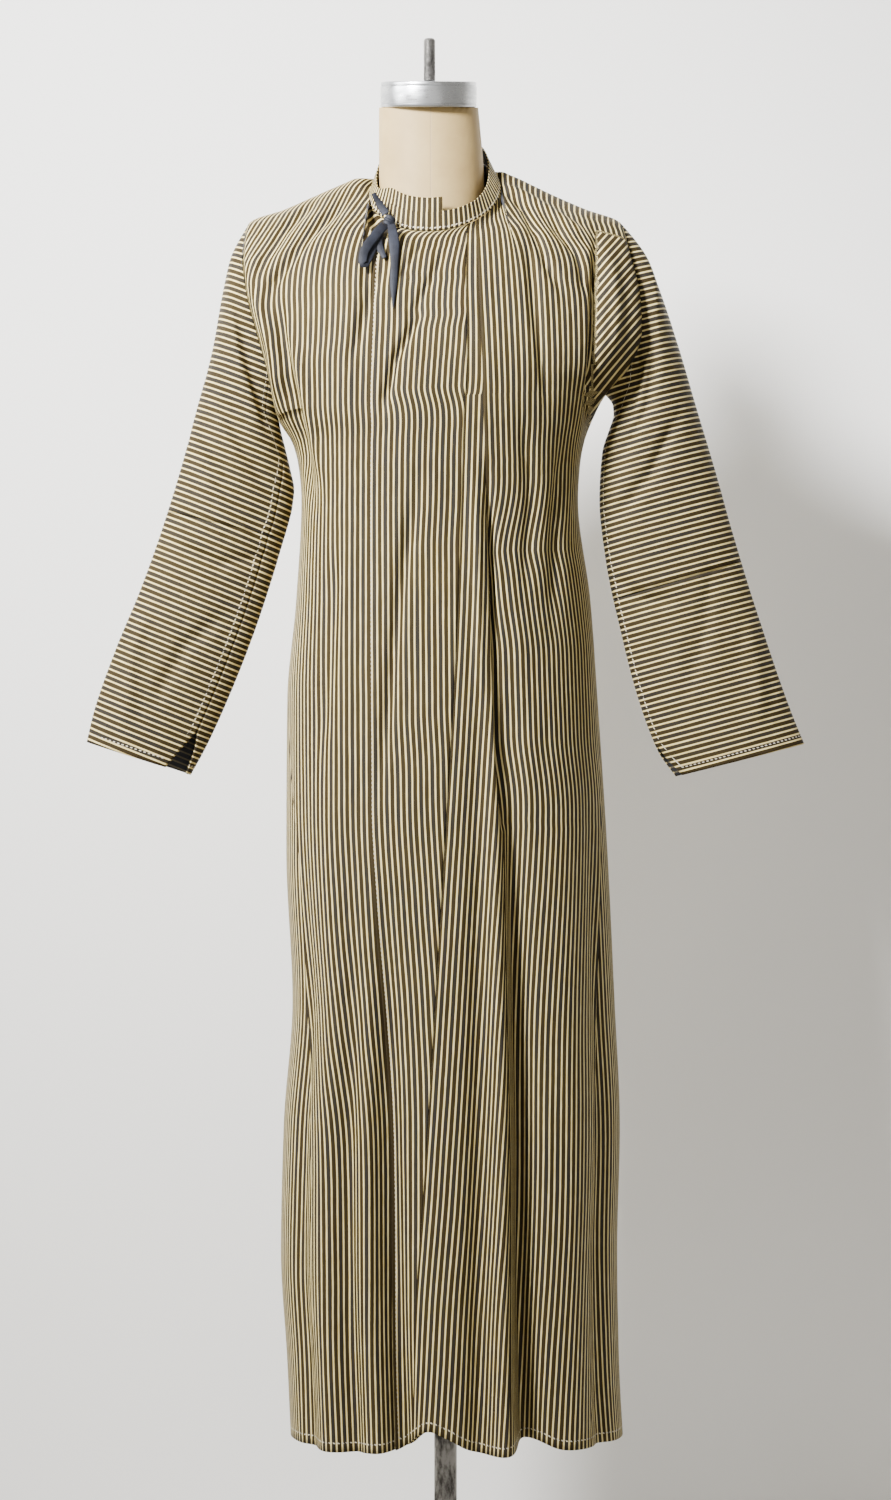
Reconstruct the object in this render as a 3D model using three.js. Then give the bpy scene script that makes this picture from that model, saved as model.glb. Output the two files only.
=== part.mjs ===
// A long striped kaftan worn by a limbless dress form that stands on a pole and a round base.
// Millimetres, +Z up, the front faces -Y and +X is on the viewer's right. The origin is on the floor, on
// the pole's axis. "right" and "left" in the names are the wearer's: the right side lies at -X.
// Every cloth piece is a thin wall laid on a drape worked out from the tables below.
import * as THREE from "three";

// ---------------------------------------------------------------- driving dimensions
const CLOTH = 1.6; // thickness of a cloth wall
const SEAM = 0.3; // gap between pieces that are sewn together
const UNDERLAP = 4.2; // how far the right front sinks under the overlap
const HEM = 216; // height of the hem at the sides
const TIP = 1577; // height of the shoulder tips
const ARMPIT = { right: 1358, left: 1382 };
const ROUNDNESS = 0.86; // exponent of a ring's corners: 1 is an ellipse, less is squarer
const BAND_HEIGHT = 21;
const RIBBON = { width: 9, thickness: 1.2 };
const PLATE = { radius: 54, height: 28.5, tilt: 0.15, z: 1705, x: -19, y: -6 };
const ROD = { radius: 6.75, top: 1782, x: -18 };
const POLE_RADIUS = 12.7;
const TORSO_BOTTOM = 820;
const BASE = { radius: 205, edge: 8, hub: 27, height: 58, socket: 20 };
const TURNED_SIDES = 48; // sides of the plate and the base

const RAD = Math.PI / 180;
const clamp = (x, low, high) => Math.min(high, Math.max(low, x));
const mix = (a, b, t) => a + (b - a) * t;
const ease = (x) => {
  const t = clamp(x, 0, 1);
  return t * t * (3 - 2 * t);
};
const power = (x, exponent = ROUNDNESS) => Math.sign(x) * Math.pow(Math.abs(x), exponent);
const apart = (a, b) => ((((a - b + 180) % 360) + 360) % 360) - 180; // degrees from b to a, -180 to 180

// A smooth curve through one column of a table, whose rows rise by their first column.
function along(rows, key, column, at) {
  const last = rows.length - 1;
  if (at <= rows[0][key]) return rows[0][column];
  if (at >= rows[last][key]) return rows[last][column];
  let i = 0;
  while (rows[i + 1][key] < at) i++;
  const slope = (k) => (rows[k + 1][column] - rows[k][column]) / (rows[k + 1][key] - rows[k][key]);
  const step = rows[i + 1][key] - rows[i][key];
  const here = slope(i);
  const before = i > 0 ? slope(i - 1) : here;
  const after = i + 1 < last ? slope(i + 1) : here;
  const start = before * here > 0 ? (2 * before * here) / (before + here) : 0;
  const end = after * here > 0 ? (2 * after * here) / (after + here) : 0;
  const t = (at - rows[i][key]) / step;
  return (
    (1 + 2 * t) * (1 - t) * (1 - t) * rows[i][column] +
    t * t * (3 - 2 * t) * rows[i + 1][column] +
    t * (1 - t) * (1 - t) * step * start +
    t * t * (t - 1) * step * end
  );
}

// ---------------------------------------------------------------- the body of the kaftan
// Half widths on the right and left side and depths to the front and back, at each height. Above the
// shoulder tips the widths follow the ridge of the shoulder, and the front falls away to the neck.
const SECTIONS = [
  { z: 170, right: 172, left: 202, front: 140, back: 150 },
  { z: 300, right: 178, left: 195, front: 135, back: 146 },
  { z: 420, right: 185, left: 193, front: 131, back: 143 },
  { z: 560, right: 182, left: 196, front: 128, back: 140 },
  { z: 702, right: 172, left: 190, front: 125, back: 137 },
  { z: 870, right: 179, left: 182, front: 123, back: 134 },
  { z: 1039, right: 178, left: 171, front: 120, back: 128 },
  { z: 1150, right: 168, left: 163, front: 118, back: 121 },
  { z: 1264, right: 162, left: 149, front: 121, back: 116 },
  { z: 1300, right: 165, left: 151, front: 124, back: 116 },
  { z: 1325, right: 171, left: 155, front: 125, back: 117 },
  { z: 1358, right: 188, left: 167, front: 127, back: 119 },
  { z: 1382, right: 194, left: 180, front: 127, back: 120 },
  { z: 1410, right: 200, left: 205, front: 126, back: 121 },
  { z: 1450, right: 211, left: 219, front: 120, back: 121 },
  { z: 1489, right: 221, left: 217, front: 109, back: 118 },
  { z: 1530, right: 226, left: 208, front: 92, back: 112 },
  { z: 1558, right: 224, left: 201, front: 73, back: 106 },
  { z: TIP, right: 219, left: 195, front: 49, back: 101 },
  { z: 1591, right: 183, left: 160, front: 31, back: 96 },
  { z: 1608, right: 147, left: 123, front: 9, back: 88 },
  { z: 1627, right: 106, left: 86, front: -12, back: 75 },
  { z: 1640, right: 79, left: 61, front: -22, back: 65 },
  { z: 1660, right: 66, left: 50, front: -26, back: 58 },
];
const SIDE_POWER = 6; // keeps the pull of the side seam close to the side
const ARMHOLE_DEPTH = { front: 48, back: 52 };
const RIDGE_Y = { tip: 4, neck: 22, neckZ: 1636 };

// Folds round the body. Each starts at (top, degrees), ends at (bottom, endDegrees) and is deepest there.
// Degrees run round the body: 0 at the front, -90 at the wearer's right side, 180 at the back.
const FOLDS = [
  { name: "right_ridge", degrees: -42, top: 1150, endDegrees: -43, bottom: 200, half: 8, depth: 9 },
  { name: "right_hollow", degrees: -33, top: 1000, endDegrees: -32, bottom: 200, half: 6, depth: -7 },
  { name: "edge_ridge", degrees: -27, top: 1000, endDegrees: -20.5, bottom: 200, half: 7, depth: 9 },
  { name: "edge_trough", degrees: -21, top: 960, endDegrees: -12.5, bottom: 200, half: 6, depth: -15 },
  { name: "centre_ridge", degrees: 0, top: 1000, endDegrees: -1, bottom: 200, half: 9, depth: 8 },
  { name: "seam_trough", degrees: 10, top: 1290, endDegrees: 8.5, bottom: 200, half: 5, depth: -8 },
  { name: "seam_ridge", degrees: 14, top: 1250, endDegrees: 15.5, bottom: 200, half: 5.5, depth: 15 },
  { name: "left_trough", degrees: 18.5, top: 1310, endDegrees: 24.5, bottom: 200, half: 6, depth: -22 },
  { name: "left_ridge", degrees: 40, top: 1180, endDegrees: 41, bottom: 200, half: 12, depth: 11 },
  { name: "left_side", degrees: 62, top: 1150, endDegrees: 59, bottom: 200, half: 7, depth: -9 },
  { name: "left_back", degrees: 112, top: 1200, endDegrees: 110, bottom: 200, half: 9, depth: -14 },
  { name: "back_left_ridge", degrees: 133, top: 1240, endDegrees: 131, bottom: 200, half: 11, depth: 11 },
  { name: "back_left", degrees: 152, top: 1300, endDegrees: 150, bottom: 200, half: 8, depth: -16 },
  { name: "back_middle", degrees: 176, top: 1330, endDegrees: 173, bottom: 200, half: 10, depth: 11 },
  { name: "back_right", degrees: 199, top: 1300, endDegrees: 196, bottom: 200, half: 8, depth: -17 },
  { name: "back_right_ridge", degrees: 221, top: 1260, endDegrees: 219, bottom: 200, half: 10, depth: 10 },
  { name: "right_back", degrees: 241, top: 1180, endDegrees: 243, bottom: 200, half: 8, depth: -13 },
  { name: "right_side", degrees: -60, top: 1100, endDegrees: -57, bottom: 200, half: 6, depth: -7 },
];
const FOLD_START = { rise: 1.7, least: 0.45 }; // how fast a fold sets in, and its depth there
const CREST = 1.4; // how sharp a fold is at its middle
function foldAt(degrees, z) {
  let depth = 0;
  for (const fold of FOLDS) {
    const share = clamp((fold.top - z) / (fold.top - fold.bottom), 0, 1);
    const off = apart(degrees, mix(fold.degrees, fold.endDegrees, share)) / fold.half;
    depth += fold.depth * ease(share * FOLD_START.rise) * mix(FOLD_START.least, 1, share) * Math.exp(-CREST * off * off);
  }
  return depth;
}

// Where the hem dips or rises round the body.
const HEM_DIPS = [
  { degrees: -40, half: 20, dip: -3 },
  { degrees: -4, half: 7, dip: 24 },
  { degrees: 14, half: 8, dip: -3 },
  { degrees: 26, half: 6, dip: 12 },
  { degrees: 135, half: 24, dip: -7 },
  { degrees: 205, half: 20, dip: -8 },
];
const hemAt = (degrees) =>
  HEM_DIPS.reduce((z, dip) => z + dip.dip * Math.exp(-Math.pow(apart(degrees, dip.degrees) / dip.half, 2)), HEM);

const widthAt = (x, z) => along(SECTIONS, "z", x < 0 ? "right" : "left", z);
const armpitAt = (x) => (x < 0 ? ARMPIT.right : ARMPIT.left);

// Where the front or back stops at the side: on the armhole, or on the ridge of the shoulder above it.
function edgeY(x, z, side) {
  const up = clamp((z - armpitAt(x)) / (TIP - armpitAt(x)), 0, 1);
  if (z > TIP) return mix(RIDGE_Y.tip, RIDGE_Y.neck, clamp((z - TIP) / (RIDGE_Y.neckZ - TIP), 0, 1));
  const round = Math.pow(Math.max(0, 1 - Math.pow(Math.abs(2 * up - 1), 2 / ROUNDNESS)), ROUNDNESS / 2);
  return RIDGE_Y.tip * up - side * (side > 0 ? ARMHOLE_DEPTH.front : ARMHOLE_DEPTH.back) * round;
}

// Depth of the front (side 1) or the back (side -1) at x and z.
function depthAt(x, z, side) {
  const share = clamp(Math.abs(x) / widthAt(x, z), 0, 1);
  const round = Math.pow(1 - Math.pow(share, 2 / ROUNDNESS), ROUNDNESS / 2);
  const middle = side > 0 ? -along(SECTIONS, "z", "front", z) : along(SECTIONS, "z", "back", z);
  return middle * round + edgeY(x, z, side) * (1 - round) * Math.pow(share, SIDE_POWER);
}

// Degrees round the body for a share of the front or back: 0 at the right side, 1 at the left side.
const degreesOf = (share, side) => (side > 0 ? 180 * share - 90 : -90 - 180 * share);
const shareAtX = (x, z) => {
  const turn = Math.asin(Math.pow(clamp(Math.abs(x) / widthAt(x, z), 0, 1), 1 / ROUNDNESS)) / RAD;
  return (90 + Math.sign(x) * turn) / 180;
};

// ---------------------------------------------------------------- neckline and top edge
const NECKLINE = { x: -12, y: -6, width: 74, depth: 66, z: 1608.5, fall: 51, climb: 41.5, slant: 4.5, bump: 16 };
function neckline(degrees) {
  const turn = degrees * RAD;
  const ahead = Math.cos(turn);
  return new THREE.Vector3(
    NECKLINE.x + NECKLINE.width * Math.sin(turn),
    NECKLINE.y - NECKLINE.depth * ahead,
    NECKLINE.z -
      (ahead > 0 ? NECKLINE.fall : NECKLINE.climb) * ahead +
      NECKLINE.slant * Math.sin(turn) +
      NECKLINE.bump * Math.max(0, -ahead) * Math.abs(Math.sin(turn)),
  );
}
const NECK_SIDE = 115; // degrees where the ridge of the shoulder meets the neckline
const RIDGE_SHARE = 0.3; // share of the top edge that each shoulder ridge takes

const RIDGE_TOP = 1645; // above the highest point of a shoulder ridge

// Height of the shoulder ridge at x.
function ridgeZ(x) {
  let low = TIP;
  let high = RIDGE_TOP;
  for (let i = 0; i < 40; i++) {
    const middle = (low + high) / 2;
    if (widthAt(x, middle) > Math.abs(x)) low = middle;
    else high = middle;
  }
  return (low + high) / 2;
}

// The top edge of the front or back: 0 at the right shoulder tip and 1 at the left one.
function topEdge(share, side) {
  const within = (share - RIDGE_SHARE) / (1 - 2 * RIDGE_SHARE);
  if (within >= 0 && within <= 1) {
    const turn = mix(-NECK_SIDE, NECK_SIDE, within);
    return neckline(side > 0 ? turn : Math.sign(turn || 1) * 180 - (turn * (180 - NECK_SIDE)) / NECK_SIDE);
  }
  const right = share < 0.5;
  const neck = neckline(right ? -NECK_SIDE : NECK_SIDE);
  const x = mix(right ? -widthAt(-1, TIP) : widthAt(1, TIP), neck.x, (right ? share : 1 - share) / RIDGE_SHARE);
  const z = ridgeZ(x);
  return new THREE.Vector3(x, edgeY(x, z, side), Math.min(z, neck.z));
}

// ---------------------------------------------------------------- the drape of the body
const BODY_ROWS = 14; // rows below the armpits
const ARM_ROWS = 10; // rows from the armpits to the top edge
const GORE_ROWS = 13; // the side gores come to a point at this row
const BELOW = BODY_ROWS / (BODY_ROWS + ARM_ROWS);
// The top edge takes hold over the last share of the rise, near the neck only.
const TOP_HOLD = { from: 0.88, over: 0.12, half: 0.24, fade: 0.05 };
const chestZ = (share) => mix(ARMPIT.right, ARMPIT.left, ease(share));

// A point of the front or back: share runs from the right side to the left, v from the hem to the top.
function drape(share, v, side) {
  const degrees = degreesOf(share, side);
  const turn = degrees * RAD;
  const flat = Math.sin(turn);
  const chest = chestZ(share);
  if (v <= BELOW) {
    const z = mix(hemAt(degrees), chest, v / BELOW);
    const width = widthAt(flat, z);
    const depth = along(SECTIONS, "z", side > 0 ? "front" : "back", z);
    const out = new THREE.Vector2(flat / width, -Math.cos(turn) / depth).normalize().multiplyScalar(foldAt(degrees, z));
    return new THREE.Vector3(width * power(flat) + out.x, -depth * power(Math.cos(turn)) + out.y, z);
  }
  const rise = (v - BELOW) / (1 - BELOW);
  const up = (1 - power(Math.cos(rise * Math.PI))) / 2;
  const start = widthAt(flat, chest) * power(flat);
  const top = topEdge(share, side);
  const z = mix(chest, top.z, up);
  const sign = share < 0.5 ? -1 : 1;
  const straight = mix(widthAt(sign, chestZ(share < 0.5 ? 0 : 1)), widthAt(sign, TIP), up);
  const bow = widthAt(sign, mix(armpitAt(sign), TIP, up)) - straight;
  const x = mix(start, top.x, up) + sign * bow * Math.pow(Math.abs(2 * share - 1), SIDE_POWER);
  const near = ease((up - TOP_HOLD.from) / TOP_HOLD.over) * ease((TOP_HOLD.half - Math.abs(share - 0.5)) / TOP_HOLD.fade);
  return new THREE.Vector3(x, mix(depthAt(x, z, side), top.y, near), z);
}

// The drape moved out along its own normal.
function lifted(share, v, side, lift) {
  const point = drape(share, v, side);
  if (lift === 0) return point;
  const step = 2e-3;
  const du = drape(Math.min(1, share + step), v, side).sub(drape(Math.max(0, share - step), v, side));
  const dv = drape(share, Math.min(1, v + step), side).sub(drape(share, Math.max(0, v - step), side));
  return point.addScaledVector(du.cross(dv).normalize(), side * lift);
}

// ---------------------------------------------------------------- seams
// x of the front seams at their heights; above the armpits they run on to a share of the top edge.
const SEAMS = {
  freeEdge: [
    { z: 200, x: -55 },
    { z: 370, x: -60 },
    { z: 555, x: -62 },
    { z: 684, x: -68 },
    { z: 814, x: -78 },
    { z: 927, x: -84 },
    { z: 1400, x: -86 },
  ],
  gorePanel: [
    { z: 200, x: -37 },
    { z: 344, x: -33 },
    { z: 479, x: -24 },
    { z: 814, x: -4 },
    { z: 1140, x: 14 },
    { z: 1400, x: 22 },
  ],
  goreLeft: [
    { z: 200, x: 66 },
    { z: 477, x: 69 },
    { z: 702, x: 66 },
    { z: 927, x: 63 },
    { z: 1242, x: 46 },
    { z: 1400, x: 40 },
  ],
  sideRight: [
    { z: 200, x: -148 },
    { z: 370, x: -146 },
    { z: 634, x: -153 },
    { z: 814, x: -160 },
    { z: 1000, x: -171 },
    { z: 1180, x: -163 },
  ],
  sideLeft: [
    { z: 200, x: 156 },
    { z: 344, x: 162 },
    { z: 640, x: 171 },
    { z: 900, x: 173 },
    { z: 1180, x: 157 },
  ],
};
const TOP_SHARES = { freeEdge: 0.43, gorePanel: 0.554, goreLeft: 0.566 };
const heightOf = (share, v) => mix(HEM, chestZ(share), Math.min(1, v / BELOW));

function frontSeam(name) {
  return (v) => {
    const z = heightOf(0.5, v);
    const share = shareAtX(along(SEAMS[name], "z", "x", z), z);
    const rise = clamp((v - BELOW) / (1 - BELOW), 0, 1);
    return mix(share, TOP_SHARES[name], name === "freeEdge" ? rise * rise * rise : rise);
  };
}
const freeEdge = frontSeam("freeEdge");
const gorePanel = frontSeam("gorePanel");
const goreLeft = frontSeam("goreLeft");
const UNDER_REACH = 0.4; // share of the gore that the right front runs on beneath
const underEdge = (v) => mix(gorePanel(v), goreLeft(v), UNDER_REACH);

// The side seams, as shares: they meet the side of the body where the gore ends.
const FRONT_ROW = 480; // about the length of a row of the front or back
const HALF_GAP = SEAM / 2 / FRONT_ROW;
const GORE_TIP = 0.004; // half the width of a gore at its point, as a share
const GORE_TOP = 1180; // the side seams run straight up above this height
const GORE_CLOSE = 0.6; // share of its height where a gore begins to close
const GORE_V = GORE_ROWS / (BODY_ROWS + ARM_ROWS);
function sideShare(name, v) {
  const z = heightOf(name === "sideRight" ? 0 : 1, v);
  const level = Math.min(z, GORE_TOP);
  const seam = shareAtX(along(SEAMS[name], "z", "x", level), level);
  const off = name === "sideRight" ? seam : 1 - seam;
  return mix(off, GORE_TIP, ease((v / GORE_V - GORE_CLOSE) / (1 - GORE_CLOSE)));
}
function sideEdge(name, v) {
  if (v > BELOW + 1e-9) return 0;
  return v <= GORE_V ? sideShare(name, v) + HALF_GAP : mix(GORE_TIP + HALF_GAP, 2 * HALF_GAP, (v - GORE_V) / (BELOW - GORE_V));
}

// ---------------------------------------------------------------- making walls
// A closed wall on surface(u, v). The surface is the outer face, and the inner face lies a thickness
// behind it, against the normal du x dv. Where squareStart is set, the first row's end face has no X lean.
function wall(surface, us, vs, thickness, squareStart = false) {
  const positions = [];
  const inner = [];
  const index = [];
  const across = us.length;
  const layer = across * vs.length;
  const step = 1e-3;
  const first = vs[0];
  const last = vs[vs.length - 1];
  for (const v of vs) {
    for (const u of us) {
      const point = surface(u, v);
      const du = surface(Math.min(1, u + step), v).sub(surface(Math.max(0, u - step), v));
      const dv = surface(u, Math.min(last, v + step)).sub(surface(u, Math.max(first, v - step)));
      const normal = du.cross(dv).normalize();
      if (squareStart && v === first) normal.setX(0).normalize();
      const behind = point.clone().addScaledVector(normal, -thickness);
      positions.push(...point.toArray());
      inner.push(...behind.toArray());
    }
  }
  positions.push(...inner);
  const quad = (a, b, c, d) => index.push(a, b, c, a, c, d);
  for (let j = 0; j + 1 < vs.length; j++) {
    for (let i = 0; i + 1 < across; i++) {
      const a = j * across + i;
      quad(a, a + 1, a + 1 + across, a + across);
      quad(layer + a, layer + a + across, layer + a + 1 + across, layer + a + 1);
    }
    const left = j * across;
    const right = left + across - 1;
    quad(left, left + across, layer + left + across, layer + left);
    quad(right, layer + right, layer + right + across, right + across);
  }
  const top = layer - across;
  for (let i = 0; i + 1 < across; i++) {
    quad(i, layer + i, layer + i + 1, i + 1);
    quad(top + i, top + i + 1, layer + top + i + 1, layer + top + i);
  }
  return solid(positions, index);
}

// A loft through rings of equal size, closed by a fan at each end.
function loft(rings) {
  const positions = rings.flat().flatMap((p) => p.toArray());
  const index = [];
  const n = rings[0].length;
  for (let j = 0; j + 1 < rings.length; j++) {
    for (let i = 0; i < n; i++) {
      const a = j * n + i;
      const b = j * n + ((i + 1) % n);
      index.push(a, b, b + n, a, b + n, a + n);
    }
  }
  for (const j of [0, rings.length - 1]) {
    const centre = rings[j].reduce((sum, p) => sum.add(p), new THREE.Vector3()).divideScalar(n);
    positions.push(...centre.toArray());
    const hub = positions.length / 3 - 1;
    for (let i = 0; i < n; i++) {
      const a = j * n + i;
      const b = j * n + ((i + 1) % n);
      if (j === 0) index.push(hub, b, a);
      else index.push(hub, a, b);
    }
  }
  return solid(positions, index);
}

// Every solid faces out: where its signed volume is negative, its triangles are turned.
function solid(positions, index) {
  const [a, b, c] = [new THREE.Vector3(), new THREE.Vector3(), new THREE.Vector3()];
  let volume = 0;
  for (let i = 0; i < index.length; i += 3) {
    a.fromArray(positions, 3 * index[i]);
    b.fromArray(positions, 3 * index[i + 1]);
    c.fromArray(positions, 3 * index[i + 2]);
    volume += a.dot(b.cross(c));
  }
  if (volume < 0) for (let i = 0; i < index.length; i += 3) [index[i + 1], index[i + 2]] = [index[i + 2], index[i + 1]];
  const geometry = new THREE.BufferGeometry();
  geometry.setAttribute("position", new THREE.Float32BufferAttribute(positions, 3));
  geometry.setIndex(index);
  geometry.computeVertexNormals();
  return geometry;
}

const kaftan = new THREE.Group();
kaftan.name = "kaftan_on_dress_form";
const MATERIALS = {
  cloth: new THREE.MeshStandardMaterial({ color: 0x8a7f5e, roughness: 0.42, metalness: 0 }),
  ribbon: new THREE.MeshStandardMaterial({ color: 0x23262d, roughness: 0.6, metalness: 0 }),
  canvas: new THREE.MeshStandardMaterial({ color: 0xd8c49c, roughness: 0.85, metalness: 0 }),
  plate: new THREE.MeshStandardMaterial({ color: 0xc4c6c8, roughness: 0.3, metalness: 1 }),
  steel: new THREE.MeshStandardMaterial({ color: 0x6b6a66, roughness: 0.45, metalness: 1 }),
  iron: new THREE.MeshStandardMaterial({ color: 0x2b2b2c, roughness: 0.6, metalness: 0.6 }),
};
function piece(name, geometry, material) {
  const mesh = new THREE.Mesh(geometry, MATERIALS[material]);
  mesh.name = name;
  kaftan.add(mesh);
}
const even = (count, from = 0, to = 1) => Array.from({ length: count + 1 }, (_, i) => mix(from, to, i / count));

// ---------------------------------------------------------------- body panels
const ROWS = even(BODY_ROWS + ARM_ROWS);
const BACK_DROP = 1.2e-4; // the back stops this share short of the ridge, clear of the front
const SINK = { before: 0.07, over: 0.06 }; // where the right front goes under, as shares before the free edge
// Columns come in strips between neighbouring seams, so pieces that lie over each other bend alike.
const strip = (start, end) => (u, v) => mix(start(v), end(v), u);
function panel(name, side, spans, lift = () => 0) {
  const counts = spans.map((span) => span.columns);
  const total = counts.reduce((sum, n) => sum + n, 0);
  const shareAt = (u, v) => {
    let at = u * total;
    for (let i = 0; i < spans.length; i++) {
      if (at <= counts[i] + 1e-9 || i === spans.length - 1) return strip(spans[i].start, spans[i].end)(at / counts[i], v);
      at -= counts[i];
    }
  };
  const surface = (u, v) => {
    const share = shareAt(u, v);
    return lifted(share, v, side, lift(share, v));
  };
  piece(name, wall(surface, even(total), side > 0 ? ROWS : [...ROWS.slice(0, -1), 1 - BACK_DROP], side * CLOTH), "cloth");
}
const past = (seam) => (v) => seam(v) + HALF_GAP;
const short = (seam) => (v) => seam(v) - HALF_GAP;
const rightSide = (v) => sideEdge("sideRight", v);
const leftSide = (v) => 1 - sideEdge("sideLeft", v);

panel(
  "right_front",
  1,
  [
    { start: rightSide, end: freeEdge, columns: 9 },
    { start: freeEdge, end: gorePanel, columns: 4 },
    { start: gorePanel, end: underEdge, columns: 4 },
  ],
  (share, v) => -UNDERLAP * ease((share - freeEdge(v) + SINK.before) / SINK.over),
);
panel("front_overlap", 1, [{ start: freeEdge, end: short(gorePanel), columns: 4 }]);
panel("front_gore", 1, [{ start: past(gorePanel), end: short(goreLeft), columns: 10 }]);
panel("left_front", 1, [{ start: past(goreLeft), end: leftSide, columns: 10 }]);
panel("back", -1, [{ start: rightSide, end: leftSide, columns: 22 }]);

// Side gores run from the front to the back round the side, from the hem to their points.
function sideGore(name, seam, right) {
  const surface = (u, v) => {
    const height = v * GORE_V;
    const off = sideShare(seam, height) - HALF_GAP;
    const turn = mix(-off, off, u); // before 0 on the front, past 0 on the back
    const share = right ? Math.abs(turn) : 1 - Math.abs(turn);
    return drape(share, height, turn < 0 ? 1 : -1);
  };
  piece(name, wall(surface, even(6), even(GORE_ROWS), right ? -CLOTH : CLOTH), "cloth");
}
sideGore("side_gore_right", "sideRight", true);
sideGore("side_gore_left", "sideLeft", false);

// ---------------------------------------------------------------- sleeves
// Rings down each sleeve: its outer edge, its inner edge, half its depth, and how far its front and
// back stand out from the line between those edges.
const SLEEVES = {
  right: {
    sign: -1,
    seamTurn: 140,
    piecing: 5.7,
    rings: [
      { s: 0, outX: 219, outZ: 1577, inX: 188, inZ: 1358, half: 48, bulge: 16, y: 2 },
      { s: 1, outX: 240, outZ: 1540, inX: 185, inZ: 1342, half: 49, bulge: 15, y: 1 },
      { s: 2, outX: 250, outZ: 1499, inX: 180, inZ: 1322, half: 49, bulge: 11, y: 0 },
      { s: 3, outX: 262, outZ: 1433, inX: 174.5, inZ: 1299, half: 46, bulge: 6, y: -1 },
      { s: 4, outX: 280, outZ: 1365, inX: 170, inZ: 1276, half: 42, bulge: 2, y: -2 },
      { s: 5, outX: 298, outZ: 1298, inX: 172, inZ: 1256, half: 37, bulge: 0, y: -3 },
      { s: 6, outX: 319, outZ: 1230, inX: 188, inZ: 1198, half: 32, bulge: 0, y: -4 },
      { s: 7, outX: 343, outZ: 1163, inX: 212, inZ: 1123, half: 29, bulge: 0, y: -5 },
      { s: 8, outX: 371, outZ: 1095, inX: 238, inZ: 1055, half: 28, bulge: 0, y: -6 },
      { s: 9, outX: 395, outZ: 1026, inX: 268, inZ: 988, half: 27, bulge: 0, y: -7 },
      { s: 9.5, outX: 403, outZ: 992, inX: 286, inZ: 955, half: 26, bulge: 0, y: -7 },
    ],
  },
  left: {
    sign: 1,
    seamTurn: 172,
    piecing: 6.55,
    rings: [
      { s: 0, outX: 195, outZ: 1577, inX: 180, inZ: 1382, half: 46, bulge: 31, y: 2 },
      { s: 1, outX: 220, outZ: 1546, inX: 188, inZ: 1372, half: 47, bulge: 27, y: 1 },
      { s: 2, outX: 240, outZ: 1501, inX: 189, inZ: 1360, half: 47, bulge: 18, y: 0 },
      { s: 3, outX: 263, outZ: 1433, inX: 184, inZ: 1343, half: 45, bulge: 10, y: -1 },
      { s: 4, outX: 283, outZ: 1365, inX: 176, inZ: 1316, half: 42, bulge: 4, y: -2 },
      { s: 5, outX: 303, outZ: 1298, inX: 173, inZ: 1263, half: 38, bulge: 0, y: -3 },
      { s: 6, outX: 322, outZ: 1230, inX: 181, inZ: 1190, half: 33, bulge: 0, y: -4 },
      { s: 7, outX: 342, outZ: 1163, inX: 196, inZ: 1120, half: 30, bulge: 0, y: -5 },
      { s: 8, outX: 364, outZ: 1095, inX: 213, inZ: 1052, half: 29, bulge: 0, y: -6 },
      { s: 9, outX: 389, outZ: 1024, inX: 238, inZ: 983, half: 28, bulge: 0, y: -7 },
      { s: 9.5, outX: 403, outZ: 990, inX: 258, inZ: 953, half: 27, bulge: 0, y: -7 },
    ],
  },
};
const CUFF = 9.5; // the last ring
const GUSSET = { end: 3, half: 54, tip: 2.5, gap: 1 }; // half widths and gap in degrees round the sleeve
const SEAM_TURN = 0.45; // half the gap along the inner seam, in degrees round the sleeve
const RING_STEP = 60; // about the distance between two rings
const ARMHOLE_GAP = 1.3; // between the body and the first ring of a sleeve
const VENT = { start: 8.85, half: 17, curve: 0.8 };

// A point of a sleeve: 0 degrees on the outer edge, 90 in front, 180 on the inner edge.
function sleevePoint(arm, degrees, s) {
  const at = (column) => along(arm.rings, "s", column, s);
  const turn = degrees * RAD;
  const out = Math.cos(turn);
  const aside = Math.sin(turn);
  const round = mix(ROUNDNESS, 1, ease(s / 4));
  const centreX = (at("outX") + at("inX")) / 2;
  const centreZ = (at("outZ") + at("inZ")) / 2;
  const x = centreX + ((at("outX") - at("inX")) / 2) * power(out, round) + at("bulge") * aside * aside;
  const z = centreZ + ((at("outZ") - at("inZ")) / 2) * power(out, round);
  const ring = new THREE.Vector3(arm.sign * x, at("y") - at("half") * power(aside, round), z);
  if (s >= 1) return ring;
  // the first ring follows the armhole, a gap outside the body
  const up = (1 + power(out)) / 2;
  const side = aside >= 0 ? 1 : -1;
  const holeZ = mix(armpitAt(arm.sign), TIP, up);
  const hole = new THREE.Vector3(
    arm.sign * (widthAt(arm.sign, holeZ) + ARMHOLE_GAP),
    edgeY(arm.sign, holeZ, Math.abs(aside) < 1e-9 ? 0 : side),
    holeZ,
  );
  return hole.lerp(ring, ease(s) * 0.5 + s * 0.5);
}
const seamCentre = (arm, s) => mix(180, arm.seamTurn, ease(s / 4.5));
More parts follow.
